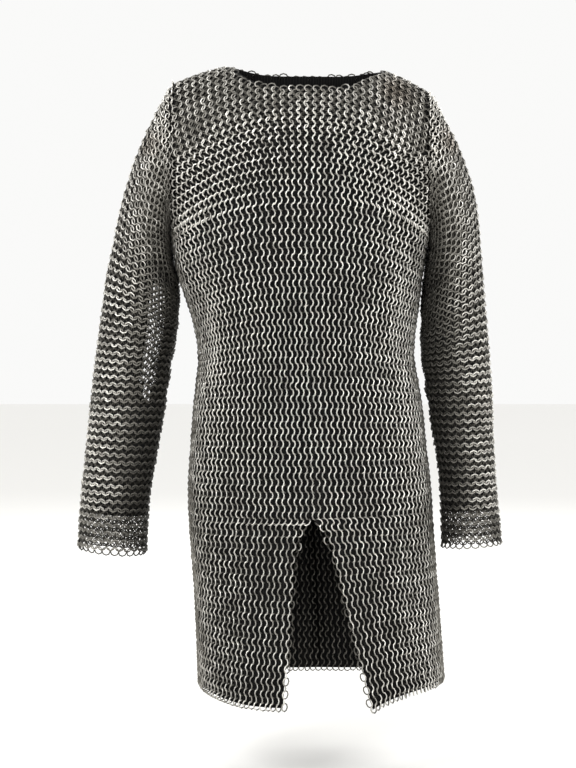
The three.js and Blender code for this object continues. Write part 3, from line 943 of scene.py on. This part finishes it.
@dataclass(frozen=True)
class RingTree:
    """A Geometry Nodes tree that sets a wire ring on every point, leaning as the point says."""

    name: str = "linked_rings"
    ring_sides: int = 8
    wire_sides: int = 3
    wire_turn: float = math.pi / 2

    def build(self) -> bpy.types.NodeTree:
        """Build the tree.

        Returns:
            A geometry node group with inputs for the points, the ring's sizes and its finish.
        """
        tree = bpy.data.node_groups.new(self.name, "GeometryNodeTree")
        face = tree.interface
        face.new_socket("Places", in_out="INPUT", socket_type="NodeSocketGeometry")
        face.new_socket("Mean Radius", in_out="INPUT", socket_type="NodeSocketFloat")
        face.new_socket("Wire Radius", in_out="INPUT", socket_type="NodeSocketFloat")
        face.new_socket("Finish", in_out="INPUT", socket_type="NodeSocketMaterial")
        face.new_socket("Rings", in_out="OUTPUT", socket_type="NodeSocketGeometry")
        given = add_node(tree, "NodeGroupInput").outputs
        ring_line = add_node(
            tree,
            "GeometryNodeCurvePrimitiveCircle",
            {"mode": "RADIUS"},
            {"Resolution": self.ring_sides, "Radius": given["Mean Radius"]},
        )
        wire_section = add_node(
            tree,
            "GeometryNodeCurvePrimitiveCircle",
            {"mode": "RADIUS"},
            {"Resolution": self.wire_sides, "Radius": given["Wire Radius"]},
        )
        turned_section = add_node(
            tree,
            "GeometryNodeTransform",
            {},
            {"Geometry": wire_section.outputs["Curve"], "Rotation": (0, 0, self.wire_turn)},
        )
        ring = add_node(
            tree,
            "GeometryNodeCurveToMesh",
            {},
            {
                "Curve": ring_line.outputs["Curve"],
                "Profile Curve": turned_section.outputs["Geometry"],
            },
        )
        placed = add_node(
            tree,
            "GeometryNodeInstanceOnPoints",
            {},
            {
                "Points": given["Places"],
                "Instance": ring.outputs["Mesh"],
                "Rotation": self.rotation(tree),
            },
        )
        joined = add_node(
            tree, "GeometryNodeRealizeInstances", {}, {"Geometry": placed.outputs["Instances"]}
        ).outputs["Geometry"]
        joined = add_node(
            tree,
            "GeometryNodeStoreNamedAttribute",
            {"data_type": "FLOAT", "domain": "POINT"},
            {"Geometry": joined, "Name": "height", "Value": self.height(tree)},
        ).outputs["Geometry"]
        for used in ("centre", "outward", "row_way", "lean"):
            joined = add_node(
                tree, "GeometryNodeRemoveAttribute", {}, {"Geometry": joined, "Name": used}
            ).outputs["Geometry"]
        smooth = add_node(tree, "GeometryNodeSetShadeSmooth", {}, {"Geometry": joined})
        finished = add_node(
            tree,
            "GeometryNodeSetMaterial",
            {},
            {"Geometry": smooth.outputs["Geometry"], "Material": given["Finish"]},
        )
        add_node(tree, "NodeGroupOutput", {}, {"Rings": finished.outputs["Geometry"]})
        return tree

    def height(self, tree: bpy.types.NodeTree) -> bpy.types.NodeSocket:
        """Add the nodes that measure how far each bit of wire stands out of the weave's middle."""
        read = {
            name: add_node(
                tree,
                "GeometryNodeInputNamedAttribute",
                {"data_type": "FLOAT_VECTOR"},
                {"Name": name},
            ).outputs["Attribute"]
            for name in ("centre", "outward")
        }
        place = add_node(tree, "GeometryNodeInputPosition").outputs["Position"]
        offset = add_node(
            tree, "ShaderNodeVectorMath", {"operation": "SUBTRACT"}, {0: place, 1: read["centre"]}
        )
        return add_node(
            tree,
            "ShaderNodeVectorMath",
            {"operation": "DOT_PRODUCT"},
            {0: offset.outputs["Vector"], 1: read["outward"]},
        ).outputs["Value"]

    def rotation(self, tree: bpy.types.NodeTree) -> bpy.types.NodeSocket:
        """Add the nodes that turn a ring: its axis leans from the outward way along its row."""
        read = {
            name: add_node(
                tree, "GeometryNodeInputNamedAttribute", {"data_type": kind}, {"Name": name}
            ).outputs["Attribute"]
            for name, kind in (
                ("outward", "FLOAT_VECTOR"),
                ("row_way", "FLOAT_VECTOR"),
                ("lean", "FLOAT"),
            )
        }
        parts = []
        for name, operation in (("outward", "COSINE"), ("row_way", "SINE")):
            share = add_node(tree, "ShaderNodeMath", {"operation": operation}, {0: read["lean"]})
            parts.append(
                add_node(
                    tree,
                    "ShaderNodeVectorMath",
                    {"operation": "SCALE"},
                    {0: read[name], "Scale": share.outputs["Value"]},
                ).outputs["Vector"]
            )
        axis = add_node(
            tree, "ShaderNodeVectorMath", {"operation": "ADD"}, {0: parts[0], 1: parts[1]}
        )
        faced = add_node(
            tree,
            "FunctionNodeAlignRotationToVector",
            {"axis": "Z", "pivot_axis": "AUTO"},
            {"Vector": axis.outputs["Vector"]},
        )
        return add_node(
            tree,
            "FunctionNodeAlignRotationToVector",
            {"axis": "X", "pivot_axis": "Z"},
            {"Rotation": faced.outputs["Rotation"], "Vector": read["row_way"]},
        ).outputs["Rotation"]


# ---------------------------------------------------------------------- finishes
@dataclass(frozen=True)
class OiledSteelWire:
    """Oiled mild steel wire: painted highlight where it stands out, painted near-black shade where
    it lies low.

    It gives the eye sharp pale arcs, row by row, over dark hollows, with a brown bloom of first
    rust in a few places on the shoulders and by the armholes.
    """

    name: str = "oiled_mild_steel_wire"
    # The first three colours run from painted shade on the low wire to painted highlight on the
    # raised wire.
    deep: str = "#171613"
    dull: str = "#8a8780"
    bright: str = "#f6f3ec"
    rust: str = "#9b7c58"
    deep_height: float = -1.0  # millimetres from the middle of the weave, below which the wire is all painted shade
    top_height: float = 2.6
    dull_share: float = 0.5  # where the half-lit colour lies on the ramp from painted shade to painted highlight
    inner_share: float = 0.4  # how much of the painted highlight the inner side gets
    roughness: float = 0.36
    patina_size: float = 46.0  # width of the drifts of darker oil
    draw_mark: float = 0.45  # width of the marks the drawing die leaves
    # Middles and radii of the places with a bloom of rust.
    blooms: tuple[tuple[float, float, float, float], ...] = (
        (132, -30, -40, 46),
        (203, -30, -110, 34),
        (-214, -34, -112, 30),
    )

    def make(self) -> bpy.types.Material:
        """Make the material.

        Returns:
            A node material that reads object coordinates and each ring's own numbers.
        """
        material = bpy.data.materials.new(self.name)
        material.use_nodes = True
        tree = material.node_tree
        shader = tree.nodes["Principled BSDF"]
        place = add_node(tree, "ShaderNodeTexCoord").outputs["Object"]
        patina = add_node(
            tree,
            "ShaderNodeTexNoise",
            {},
            {"Vector": place, "Scale": 1 / (self.patina_size * MM), "Detail": 3.0},
        ).outputs["Fac"]
        painted_light_and_tone = self.wear(tree, patina)
        # The ramp runs from painted shade through a half-lit tone to painted highlight.
        ramp = add_node(tree, "ShaderNodeValToRGB", {}, {"Fac": painted_light_and_tone})
        ramp.color_ramp.elements[0].color = linear_colour(self.deep)
        ramp.color_ramp.elements[1].color = linear_colour(self.bright)
        ramp.color_ramp.elements.new(self.dull_share).color = linear_colour(self.dull)
        bloomed = add_node(
            tree,
            "ShaderNodeMix",
            {"data_type": "RGBA", "blend_type": "MULTIPLY"},
            {
                "Factor": self.bloom_mask(tree, place, patina),
                6: ramp.outputs["Color"],
                7: linear_colour(self.rust),
            },
        )
        marks = add_node(
            tree,
            "ShaderNodeTexNoise",
            {},
            {"Vector": place, "Scale": 1 / (self.draw_mark * MM), "Detail": 2.0},
        )
        dullness = add_node(
            tree,
            "ShaderNodeMapRange",
            {},
            {"Value": painted_light_and_tone, "To Min": self.roughness + 0.2, "To Max": self.roughness - 0.04},
        )
        relief = add_node(
            tree,
            "ShaderNodeBump",
            {},
            {"Height": marks.outputs["Fac"], "Strength": 0.25, "Distance": 0.08 * MM},
        )
        tree.links.new(bloomed.outputs[2], shader.inputs["Base Color"])
        tree.links.new(dullness.outputs["Result"], shader.inputs["Roughness"])
        tree.links.new(relief.outputs["Normal"], shader.inputs["Normal"])
        shader.inputs["Metallic"].default_value = 1.0
        return material

    def wear(self, tree: bpy.types.NodeTree, patina: bpy.types.NodeSocket) -> bpy.types.NodeSocket:
        """Add the wire's painted light: highlight and shade by height, times its own tone, the oil
        drifts and the rings' painted shade.
        """
        read = {
            name: add_node(tree, "ShaderNodeAttribute", {"attribute_name": name}).outputs["Fac"]
            for name in ("height", "tone", "grime")
        }
        # Painted highlight on the raised wire and painted shade on the low wire; the inner side
        # gets less of the highlight.
        sides = [
            add_node(
                tree,
                "ShaderNodeMapRange",
                {"interpolation_type": "SMOOTHSTEP"},
                {
                    "Value": read["height"],
                    "From Min": way * self.deep_height * MM,
                    "From Max": way * self.top_height * MM,
                    "To Min": 0.0,
                    "To Max": share,
                },
            ).outputs["Result"]
            for way, share in ((1, 1.0), (-1, self.inner_share))
        ]
        height_light = add_node(
            tree, "ShaderNodeMath", {"operation": "MAXIMUM"}, {0: sides[0], 1: sides[1]}
        ).outputs["Value"]
        own = add_node(
            tree, "ShaderNodeMapRange", {}, {"Value": read["tone"], "To Min": 0.7, "To Max": 1.2}
        ).outputs["Result"]
        drift = add_node(
            tree,
            "ShaderNodeMapRange",
            {},
            {"Value": patina, "From Min": 0.3, "From Max": 0.7, "To Min": 0.86, "To Max": 1.1},
        ).outputs["Result"]
        # Darkens the wire by each ring's painted shade: under the arms, at the sides and along the
        # sleeves' inner lines, and darker down the skirt and round the cuffs.
        unshaded = add_node(
            tree, "ShaderNodeMapRange", {}, {"Value": read["grime"], "To Min": 1.0, "To Max": 0.12}
        ).outputs["Result"]
        painted_light_and_tone = height_light
        for share in (own, drift, unshaded):
            painted_light_and_tone = add_node(
                tree, "ShaderNodeMath", {"operation": "MULTIPLY"}, {0: painted_light_and_tone, 1: share}
            ).outputs["Value"]
        return painted_light_and_tone

    def bloom_mask(
        self, tree: bpy.types.NodeTree, place: bpy.types.NodeSocket, noise: bpy.types.NodeSocket
    ) -> bpy.types.NodeSocket:
        """Add the mask of the rusty places, broken up by the noise."""
        total = None
        for x, y, z, radius in self.blooms:
            distance = add_node(
                tree,
                "ShaderNodeVectorMath",
                {"operation": "DISTANCE"},
                {0: place, 1: (x * MM, y * MM, z * MM)},
            )
            spot = add_node(
                tree,
                "ShaderNodeMapRange",
                {"interpolation_type": "SMOOTHSTEP"},
                {
                    "Value": distance.outputs["Value"],
                    "From Min": 0.0,
                    "From Max": radius * MM,
                    "To Min": 1.0,
                    "To Max": 0.0,
                },
            ).outputs["Result"]
            if total is None:
                total = spot
            else:
                total = add_node(
                    tree, "ShaderNodeMath", {"operation": "MAXIMUM"}, {0: total, 1: spot}
                ).outputs[0]
        return add_node(
            tree, "ShaderNodeMath", {"operation": "MULTIPLY"}, {0: total, 1: noise}
        ).outputs[0]


@dataclass(frozen=True)
class ShadedWeave:
    """A nearly black sheet of painted shade behind the rings.

    It gives the eye painted shade between the rings, with faint painted arcs of shaded wire behind.
    """

    name: str = "blackened_inner_weave"
    # Painted shade, nearly black, and the faint shaded arcs of wire drawn on it.
    deep: str = "#030303"
    arc: str = "#191817"
    roughness: float = 0.8
    arc_width: float = 0.12  # share of a cell that an arc of wire covers

    def make(self) -> bpy.types.Material:
        """Make the material.

        Returns:
            A node material whose arcs follow the piece's own map, one cell for each ring.
        """
        material = bpy.data.materials.new(self.name)
        material.use_nodes = True
        tree = material.node_tree
        shader = tree.nodes["Principled BSDF"]
        cells = add_node(tree, "ShaderNodeUVMap", {"uv_map": "weave"}).outputs["UV"]
        wave = add_node(
            tree,
            "ShaderNodeTexWave",
            {"wave_type": "BANDS", "bands_direction": "X"},
            {"Vector": cells, "Scale": 0.5, "Distortion": 1.6, "Detail": 1.0, "Detail Scale": 2.0},
        )
        level = add_node(
            tree,
            "ShaderNodeMapRange",
            {"interpolation_type": "SMOOTHSTEP"},
            {
                "Value": wave.outputs["Fac"],
                "From Min": 1 - 2 * self.arc_width,
                "From Max": 1.0,
                "To Min": 0.0,
                "To Max": 1.0,
            },
        )
        colour = add_node(
            tree,
            "ShaderNodeMix",
            {"data_type": "RGBA"},
            {
                "Factor": level.outputs["Result"],
                6: linear_colour(self.deep),
                7: linear_colour(self.arc),
            },
        )
        relief = add_node(
            tree,
            "ShaderNodeBump",
            {},
            {"Height": level.outputs["Result"], "Strength": 0.6, "Distance": 0.6 * MM},
        )
        tree.links.new(colour.outputs[2], shader.inputs["Base Color"])
        tree.links.new(relief.outputs["Normal"], shader.inputs["Normal"])
        shader.inputs["Roughness"].default_value = self.roughness
        shader.inputs["Specular IOR Level"].default_value = 0.15
        return material


# ---------------------------------------------------------------------- making the pieces
@dataclass(frozen=True)
class MailMaker:
    """Makes the meshes of the mail, all with the same weave and finishes."""

    weave: Weave
    ring_tree: bpy.types.NodeTree
    wire_finish: bpy.types.Material
    backing_finish: bpy.types.Material
    backing_depth: float = 3.2  # how far the backing lies below the outer surface
    backing_wall: float = 0.6
    corner_reach: float = 0.7  # a three-cornered section of much the same area as the round wire
    material_slot: str = "mail_steel"
    body_name: str = "root"

    def keep_evaluated(self, source: bpy.types.Object, name: str) -> bpy.types.Object:
        """Turn an object with modifiers into one with a plain mesh.

        Args:
            source: The object, which is removed.
            name: Name of the new object and mesh.

        Returns:
            The new object, riding on the body.
        """
        evaluated = source.evaluated_get(bpy.context.evaluated_depsgraph_get())
        mesh = bpy.data.meshes.new_from_object(evaluated)
        mesh.name = name
        bpy.data.objects.remove(source)
        piece = bpy.data.objects.new(name, mesh)
        bpy.context.scene.collection.objects.link(piece)
        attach(piece, self.body_name)
        return piece

    def rings(self, name: str, places: RingPlaces) -> bpy.types.Object:
        """Make one mesh of many linked rings.

        Args:
            name: Name of the piece.
            places: Where the rings go.

        Returns:
            The piece.
        """
        mesh = bpy.data.meshes.new(f"{name}_places")
        mesh.vertices.add(len(places.centres))
        mesh.vertices.foreach_set("co", (places.centres * MM).astype(np.float32).ravel())
        for attribute, kind, values in (
            ("centre", "FLOAT_VECTOR", places.centres * MM),
            ("outward", "FLOAT_VECTOR", places.outward),
            ("row_way", "FLOAT_VECTOR", places.row_way),
            ("lean", "FLOAT", places.leans),
            ("tone", "FLOAT", places.tones),
            ("grime", "FLOAT", places.grime),
        ):
            layer = mesh.attributes.new(attribute, kind, "POINT")
            key = "vector" if kind == "FLOAT_VECTOR" else "value"
            layer.data.foreach_set(key, values.astype(np.float32).ravel())
        source = bpy.data.objects.new(f"{name}_places", mesh)
        bpy.context.scene.collection.objects.link(source)
        modifier = source.modifiers.new("rings", "NODES")
        modifier.node_group = self.ring_tree
        sockets = {item.name: item.identifier for item in self.ring_tree.interface.items_tree}
        modifier[sockets["Mean Radius"]] = self.weave.mean_radius * MM
        modifier[sockets["Wire Radius"]] = self.weave.wire * self.corner_reach * MM
        modifier[sockets["Finish"]] = self.wire_finish
        piece = self.keep_evaluated(source, name)
        LOG.info("%s: %d rings, %d faces", name, len(places.centres), len(piece.data.polygons))
        return piece

    def backing(
        self,
        name: str,
        points: np.ndarray,
        normals: np.ndarray,
        cells: np.ndarray,
        holes: np.ndarray | None = None,
    ) -> bpy.types.Object:
        """Make the thin dark backing of a piece of mail, a sheet of painted shade, from a grid of
        surface points.

        Args:
            name: Name of the piece.
            points: Grid of points on the outer surface, rows by columns.
            normals: Outward normals there.
            cells: Column and row of the weave at each point.
            holes: Faces of the grid to leave out.

        Returns:
            The piece.
        """
        rows, columns = points.shape[:2]
        inset = (points - normals * self.backing_depth) * MM
        number = np.arange(rows * columns).reshape(rows, columns)
        quads = np.stack([number[:-1, :-1], number[1:, :-1], number[1:, 1:], number[:-1, 1:]], -1)
        if holes is not None:
            quads = quads[~holes]
        quads = quads.reshape(-1, 4)
        first = quads[0]
        flat = inset.reshape(-1, 3)
        facing = np.cross(flat[first[1]] - flat[first[0]], flat[first[3]] - flat[first[0]])
        if facing @ normals.reshape(-1, 3)[first[0]] < 0:
            quads = quads[:, ::-1]
        mesh = bpy.data.meshes.new(f"{name}_grid")
        mesh.from_pydata(flat.tolist(), [], quads.tolist())
        layer = mesh.uv_layers.new(name="weave")
        corners = np.empty(len(mesh.loops), dtype=np.int32)
        mesh.loops.foreach_get("vertex_index", corners)
        layer.data.foreach_set("uv", cells.reshape(-1, 2)[corners].astype(np.float32).ravel())
        mesh.polygons.foreach_set("use_smooth", np.ones(len(mesh.polygons), dtype=bool))
        mesh.materials.append(self.backing_finish)
        source = bpy.data.objects.new(f"{name}_grid", mesh)
        bpy.context.scene.collection.objects.link(source)
        weld = source.modifiers.new("weld", "WELD")
        weld.merge_threshold = 0.01 * MM
        wall = source.modifiers.new("wall", "SOLIDIFY")
        wall.thickness = self.backing_wall * MM
        wall.offset = -1.0
        piece = self.keep_evaluated(source, name)
        LOG.info("%s: %d faces", name, len(piece.data.polygons))
        return piece


@dataclass(frozen=True)
class PanelMail:
    """The front or the back: its rings in two joined meshes, and its backing."""

    panel: Panel
    flat: tuple[float, float]
    flat_area: float
    split_course: float = 3.2  # where the upper mesh of rings ends
    backing_rows: int = 64
    backing_columns: int = 26
    edge_margin: float = 4.0  # how far short of the cut edges the backing stops

    def build(self, maker: MailMaker, layout: BodyWeave) -> bpy.types.Object:
        """Build and dress the panel.

        Args:
            maker: Makes the meshes.
            layout: Where the rings of the body lie.

        Returns:
            The backing, which replaces the panel's solid.
        """
        name = self.panel.name.lower()
        halves = [layout.half(self.panel, side) for side in Side]
        for part, low, high in (("upper", 0, self.split_course), ("lower", self.split_course, 99)):
            picked = [places.kept((course >= low) & (course < high)) for places, course in halves]
            maker.rings(f"{name}_rings_{part}", join_places(picked))
        backing = self.make_backing(maker, layout, name)
        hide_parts(name)
        return backing

    def make_backing(self, maker: MailMaker, layout: BodyWeave, name: str) -> bpy.types.Object:
        """Make the backing of the panel, both halves on one grid down to the slit."""
        body = layout.body
        low_course = body.hem_course - self.edge_margin / body.side_step
        share = np.linspace(0, 1, self.backing_rows)[:, None]
        grids = []
        for side in Side:
            across = np.linspace(0, 1, self.backing_columns)[None, :] ** 1.1
            surface = body.troughed(self.panel, side)
            top = body.top_course(self.panel, side, across)
            top = np.where(top > 0, top + self.edge_margin / 260, 0)
            course = top + (low_course - top) * share
            across = np.broadcast_to(across, course.shape)
            slit = smoothstep(course, body.slit_course, body.slit_course + 0.1)
            if self.panel is Panel.FRONT:
                across = across + (1 - across) * slit * self.edge_margin / 190
            inside = np.clip(across, STEP, 1 - 5 * STEP)
            points = surface(across, course)
            normals = body.outward(self.panel, side, surface, inside, course)
            seam = across >= 1
            normals[..., 1] = np.where(seam & (course > 1), 0, normals[..., 1])
            normals = unit(normals)
            cells = np.stack([side.value * across * 28, course * 12], -1)
            grids.append((points, normals, cells))
        right, left = grids
        split_row = int(np.argmax((top + (low_course - top) * share)[:, 0] > body.slit_course))
        joined = [np.concatenate([r[:, ::-1], l], axis=1) for r, l in zip(right, left, strict=True)]
        points, normals, cells = joined
        holes = None
        if self.panel is Panel.FRONT:
            holes = np.zeros((points.shape[0] - 1, points.shape[1] - 1), dtype=bool)
            holes[split_row - 1 :, self.backing_columns - 1] = True
        return maker.backing(f"{name}_backing", points, normals, cells, holes)


@dataclass(frozen=True)
class SleeveMail:
    """A sleeve: its rings in one joined mesh, and its backing, which stops short of the cuff."""

    surface: SleeveSurface
    spacing: Curves
    flat: tuple[float, float]
    flat_area: float
    bare_cuff: float = 55.0  # length of cuff that has nothing behind its rings
    backing_rows: int = 56
    backing_columns: int = 40
    # Where nothing shows behind the rings at the elbow: along from, to; around from, to, in
    # degrees.
    bare_elbow: tuple[tuple[float, float, float, float], ...] = ()

    def build(self, maker: MailMaker, hangs_from: list[bpy.types.Object]) -> bpy.types.Object:
        """Build and dress the sleeve.

        Args:
            maker: Makes the meshes.
            hangs_from: The pieces that carry it; not used.

        Returns:
            The backing, which replaces the sleeve's solid.
        """
        name = f"sleeve_{self.surface.side.name.lower()}"
        places, _ = SleeveWeave(maker.weave, self.surface, self.spacing).all_round()
        rings = maker.rings(f"{name}_rings", places)
        cuff = self.surface.cuff_along
        end = cuff - self.bare_cuff / 88
        along = np.linspace(0, end, self.backing_rows)[:, None]
        around = np.linspace(0, 360, self.backing_columns + 1)[None, :]
        along, around = np.broadcast_arrays(along, around)
        points = self.surface.troughed(around, along)
        normals = self.surface.outward(self.surface.troughed, around, np.maximum(along, STEP))
        cells = np.stack([along * 8, around / 6], -1)
        middle_along = (along[:-1, :-1] + along[1:, 1:]) / 2
        middle_around = (around[:-1, :-1] + around[1:, 1:]) / 2
        holes = np.zeros(middle_along.shape, dtype=bool)
        for start, stop, around_from, around_to in self.bare_elbow:
            across = (middle_around - around_from) / (around_to - around_from) * 2 - 1
            down = (middle_along - start) / (stop - start) * 2 - 1
            holes |= np.abs(across) ** 3 + np.abs(down) ** 3 < 1
        backing = maker.backing(f"{name}_backing", points, normals, cells, holes)
        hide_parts(name)
        return backing


def join_places(parts: list[RingPlaces]) -> RingPlaces:
    """Join several sets of places into one."""
    return RingPlaces(
        *(
            np.concatenate([getattr(part, item.name) for part in parts])
            for item in fields(RingPlaces)
        )
    )


# ---------------------------------------------------------------------- the studio
@dataclass(frozen=True)
class Studio:
    """A pale floor, soft lights all round, and the camera."""

    camera_place: tuple[float, float, float] = (-23.0, -3000.0, -306.0)
    camera_drop: float = 2.80  # degrees that the camera looks down
    focal_length: float = 97.2
    floor_z: float = -1010.0
    floor_half: float = 9000.0
    floor_colour: str = "#f2f1ee"
    grain_colour: str = "#f7f6f4"
    world_colour: str = "#fcfcfb"
    world_strength: float = 0.98

    def set_up(self) -> None:
        """Make the floor, the lights, the surroundings and the camera."""
        self.make_floor()
        self.make_world()
        self.make_light("key", (-1500, -2400, 1300), 1300, 66)
        self.make_light("fill", (2300, -1900, 500), 1500, 26)
        self.make_light("back", (200, 2400, 1200), 1800, 34)
        self.make_camera()
        bpy.context.scene.view_settings.view_transform = "Standard"

    def make_floor(self) -> None:
        """Make the pale floor, a wide square with a faint grain."""
        half, z = self.floor_half * MM, self.floor_z * MM
        mesh = bpy.data.meshes.new("floor")
        mesh.from_pydata(
            [(-half, -half, z), (half, -half, z), (half, half, z), (-half, half, z)],
            [],
            [(0, 1, 2, 3)],
        )
        floor = bpy.data.objects.new("floor", mesh)
        bpy.context.scene.collection.objects.link(floor)
        material = bpy.data.materials.new("matt_studio_floor")
        material.use_nodes = True
        tree = material.node_tree
        shader = tree.nodes["Principled BSDF"]
        grain = add_node(tree, "ShaderNodeTexNoise", {}, {"Scale": 3.0, "Detail": 2.0})
        colour = add_node(
            tree,
            "ShaderNodeMix",
            {"data_type": "RGBA"},
            {
                "Factor": grain.outputs["Fac"],
                6: linear_colour(self.floor_colour),
                7: linear_colour(self.grain_colour),
            },
        )
        tree.links.new(colour.outputs[2], shader.inputs["Base Color"])
        shader.inputs["Roughness"].default_value = 0.95
        mesh.materials.append(material)

    def make_world(self) -> None:
        """Make the even pale surroundings."""
        world = bpy.data.worlds.new("studio")
        world.use_nodes = True
        background = world.node_tree.nodes["Background"]
        background.inputs["Color"].default_value = linear_colour(self.world_colour)
        background.inputs["Strength"].default_value = self.world_strength
        bpy.context.scene.world = world

    def make_light(
        self, name: str, place: tuple[float, float, float], size: float, power: float
    ) -> None:
        """Make a square soft light that looks at the middle of the garment."""
        data = bpy.data.lights.new(name, "AREA")
        data.shape = "SQUARE"
        data.size = size * MM
        data.energy = power
        light = bpy.data.objects.new(name, data)
        light.location = Vector(place) * MM
        way = Vector((0, 0, -420)) * MM - light.location
        light.rotation_euler = way.to_track_quat("-Z", "Y").to_euler()
        bpy.context.scene.collection.objects.link(light)

    def make_camera(self) -> None:
        """Make the camera, in front and a little above the garment's waist."""
        data = bpy.data.cameras.new("camera")
        data.sensor_width = 36.0
        data.lens = self.focal_length
        data.clip_end = 60.0
        camera = bpy.data.objects.new("camera", data)
        camera.location = Vector(self.camera_place) * MM
        camera.rotation_euler = (math.radians(90 - self.camera_drop), 0, 0)
        bpy.context.scene.collection.objects.link(camera)
        bpy.context.scene.camera = camera


def main() -> None:
    """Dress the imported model."""
    logging.basicConfig(level=logging.INFO, format="%(message)s")
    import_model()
    weave = Weave()
    maker = MailMaker(weave, RingTree().build(), OiledSteelWire().make(), ShadedWeave().make())
    layout = BodyWeave(weave, BodySurface())
    front = PanelMail(Panel.FRONT, flat=(0.50, 0.95), flat_area=0.38).build(maker, layout)
    back = PanelMail(Panel.BACK, flat=(0.50, 0.93), flat_area=0.39).build(maker, layout)
    right = SleeveMail(
        RIGHT_SLEEVE,
        RIGHT_SPACING,
        flat=(0.55, 0.69),
        flat_area=0.17,
        bare_elbow=((3.55, 5.8, 100, 134), (3.55, 5.8, 226, 260)),
    )
    left = SleeveMail(LEFT_SLEEVE, LEFT_SPACING, flat=(0.54, 0.67), flat_area=0.16)
    for sleeve in (right, left):
        sleeve.build(maker, [front, back])
    Studio().set_up()


if __name__ == "__main__":
    main()
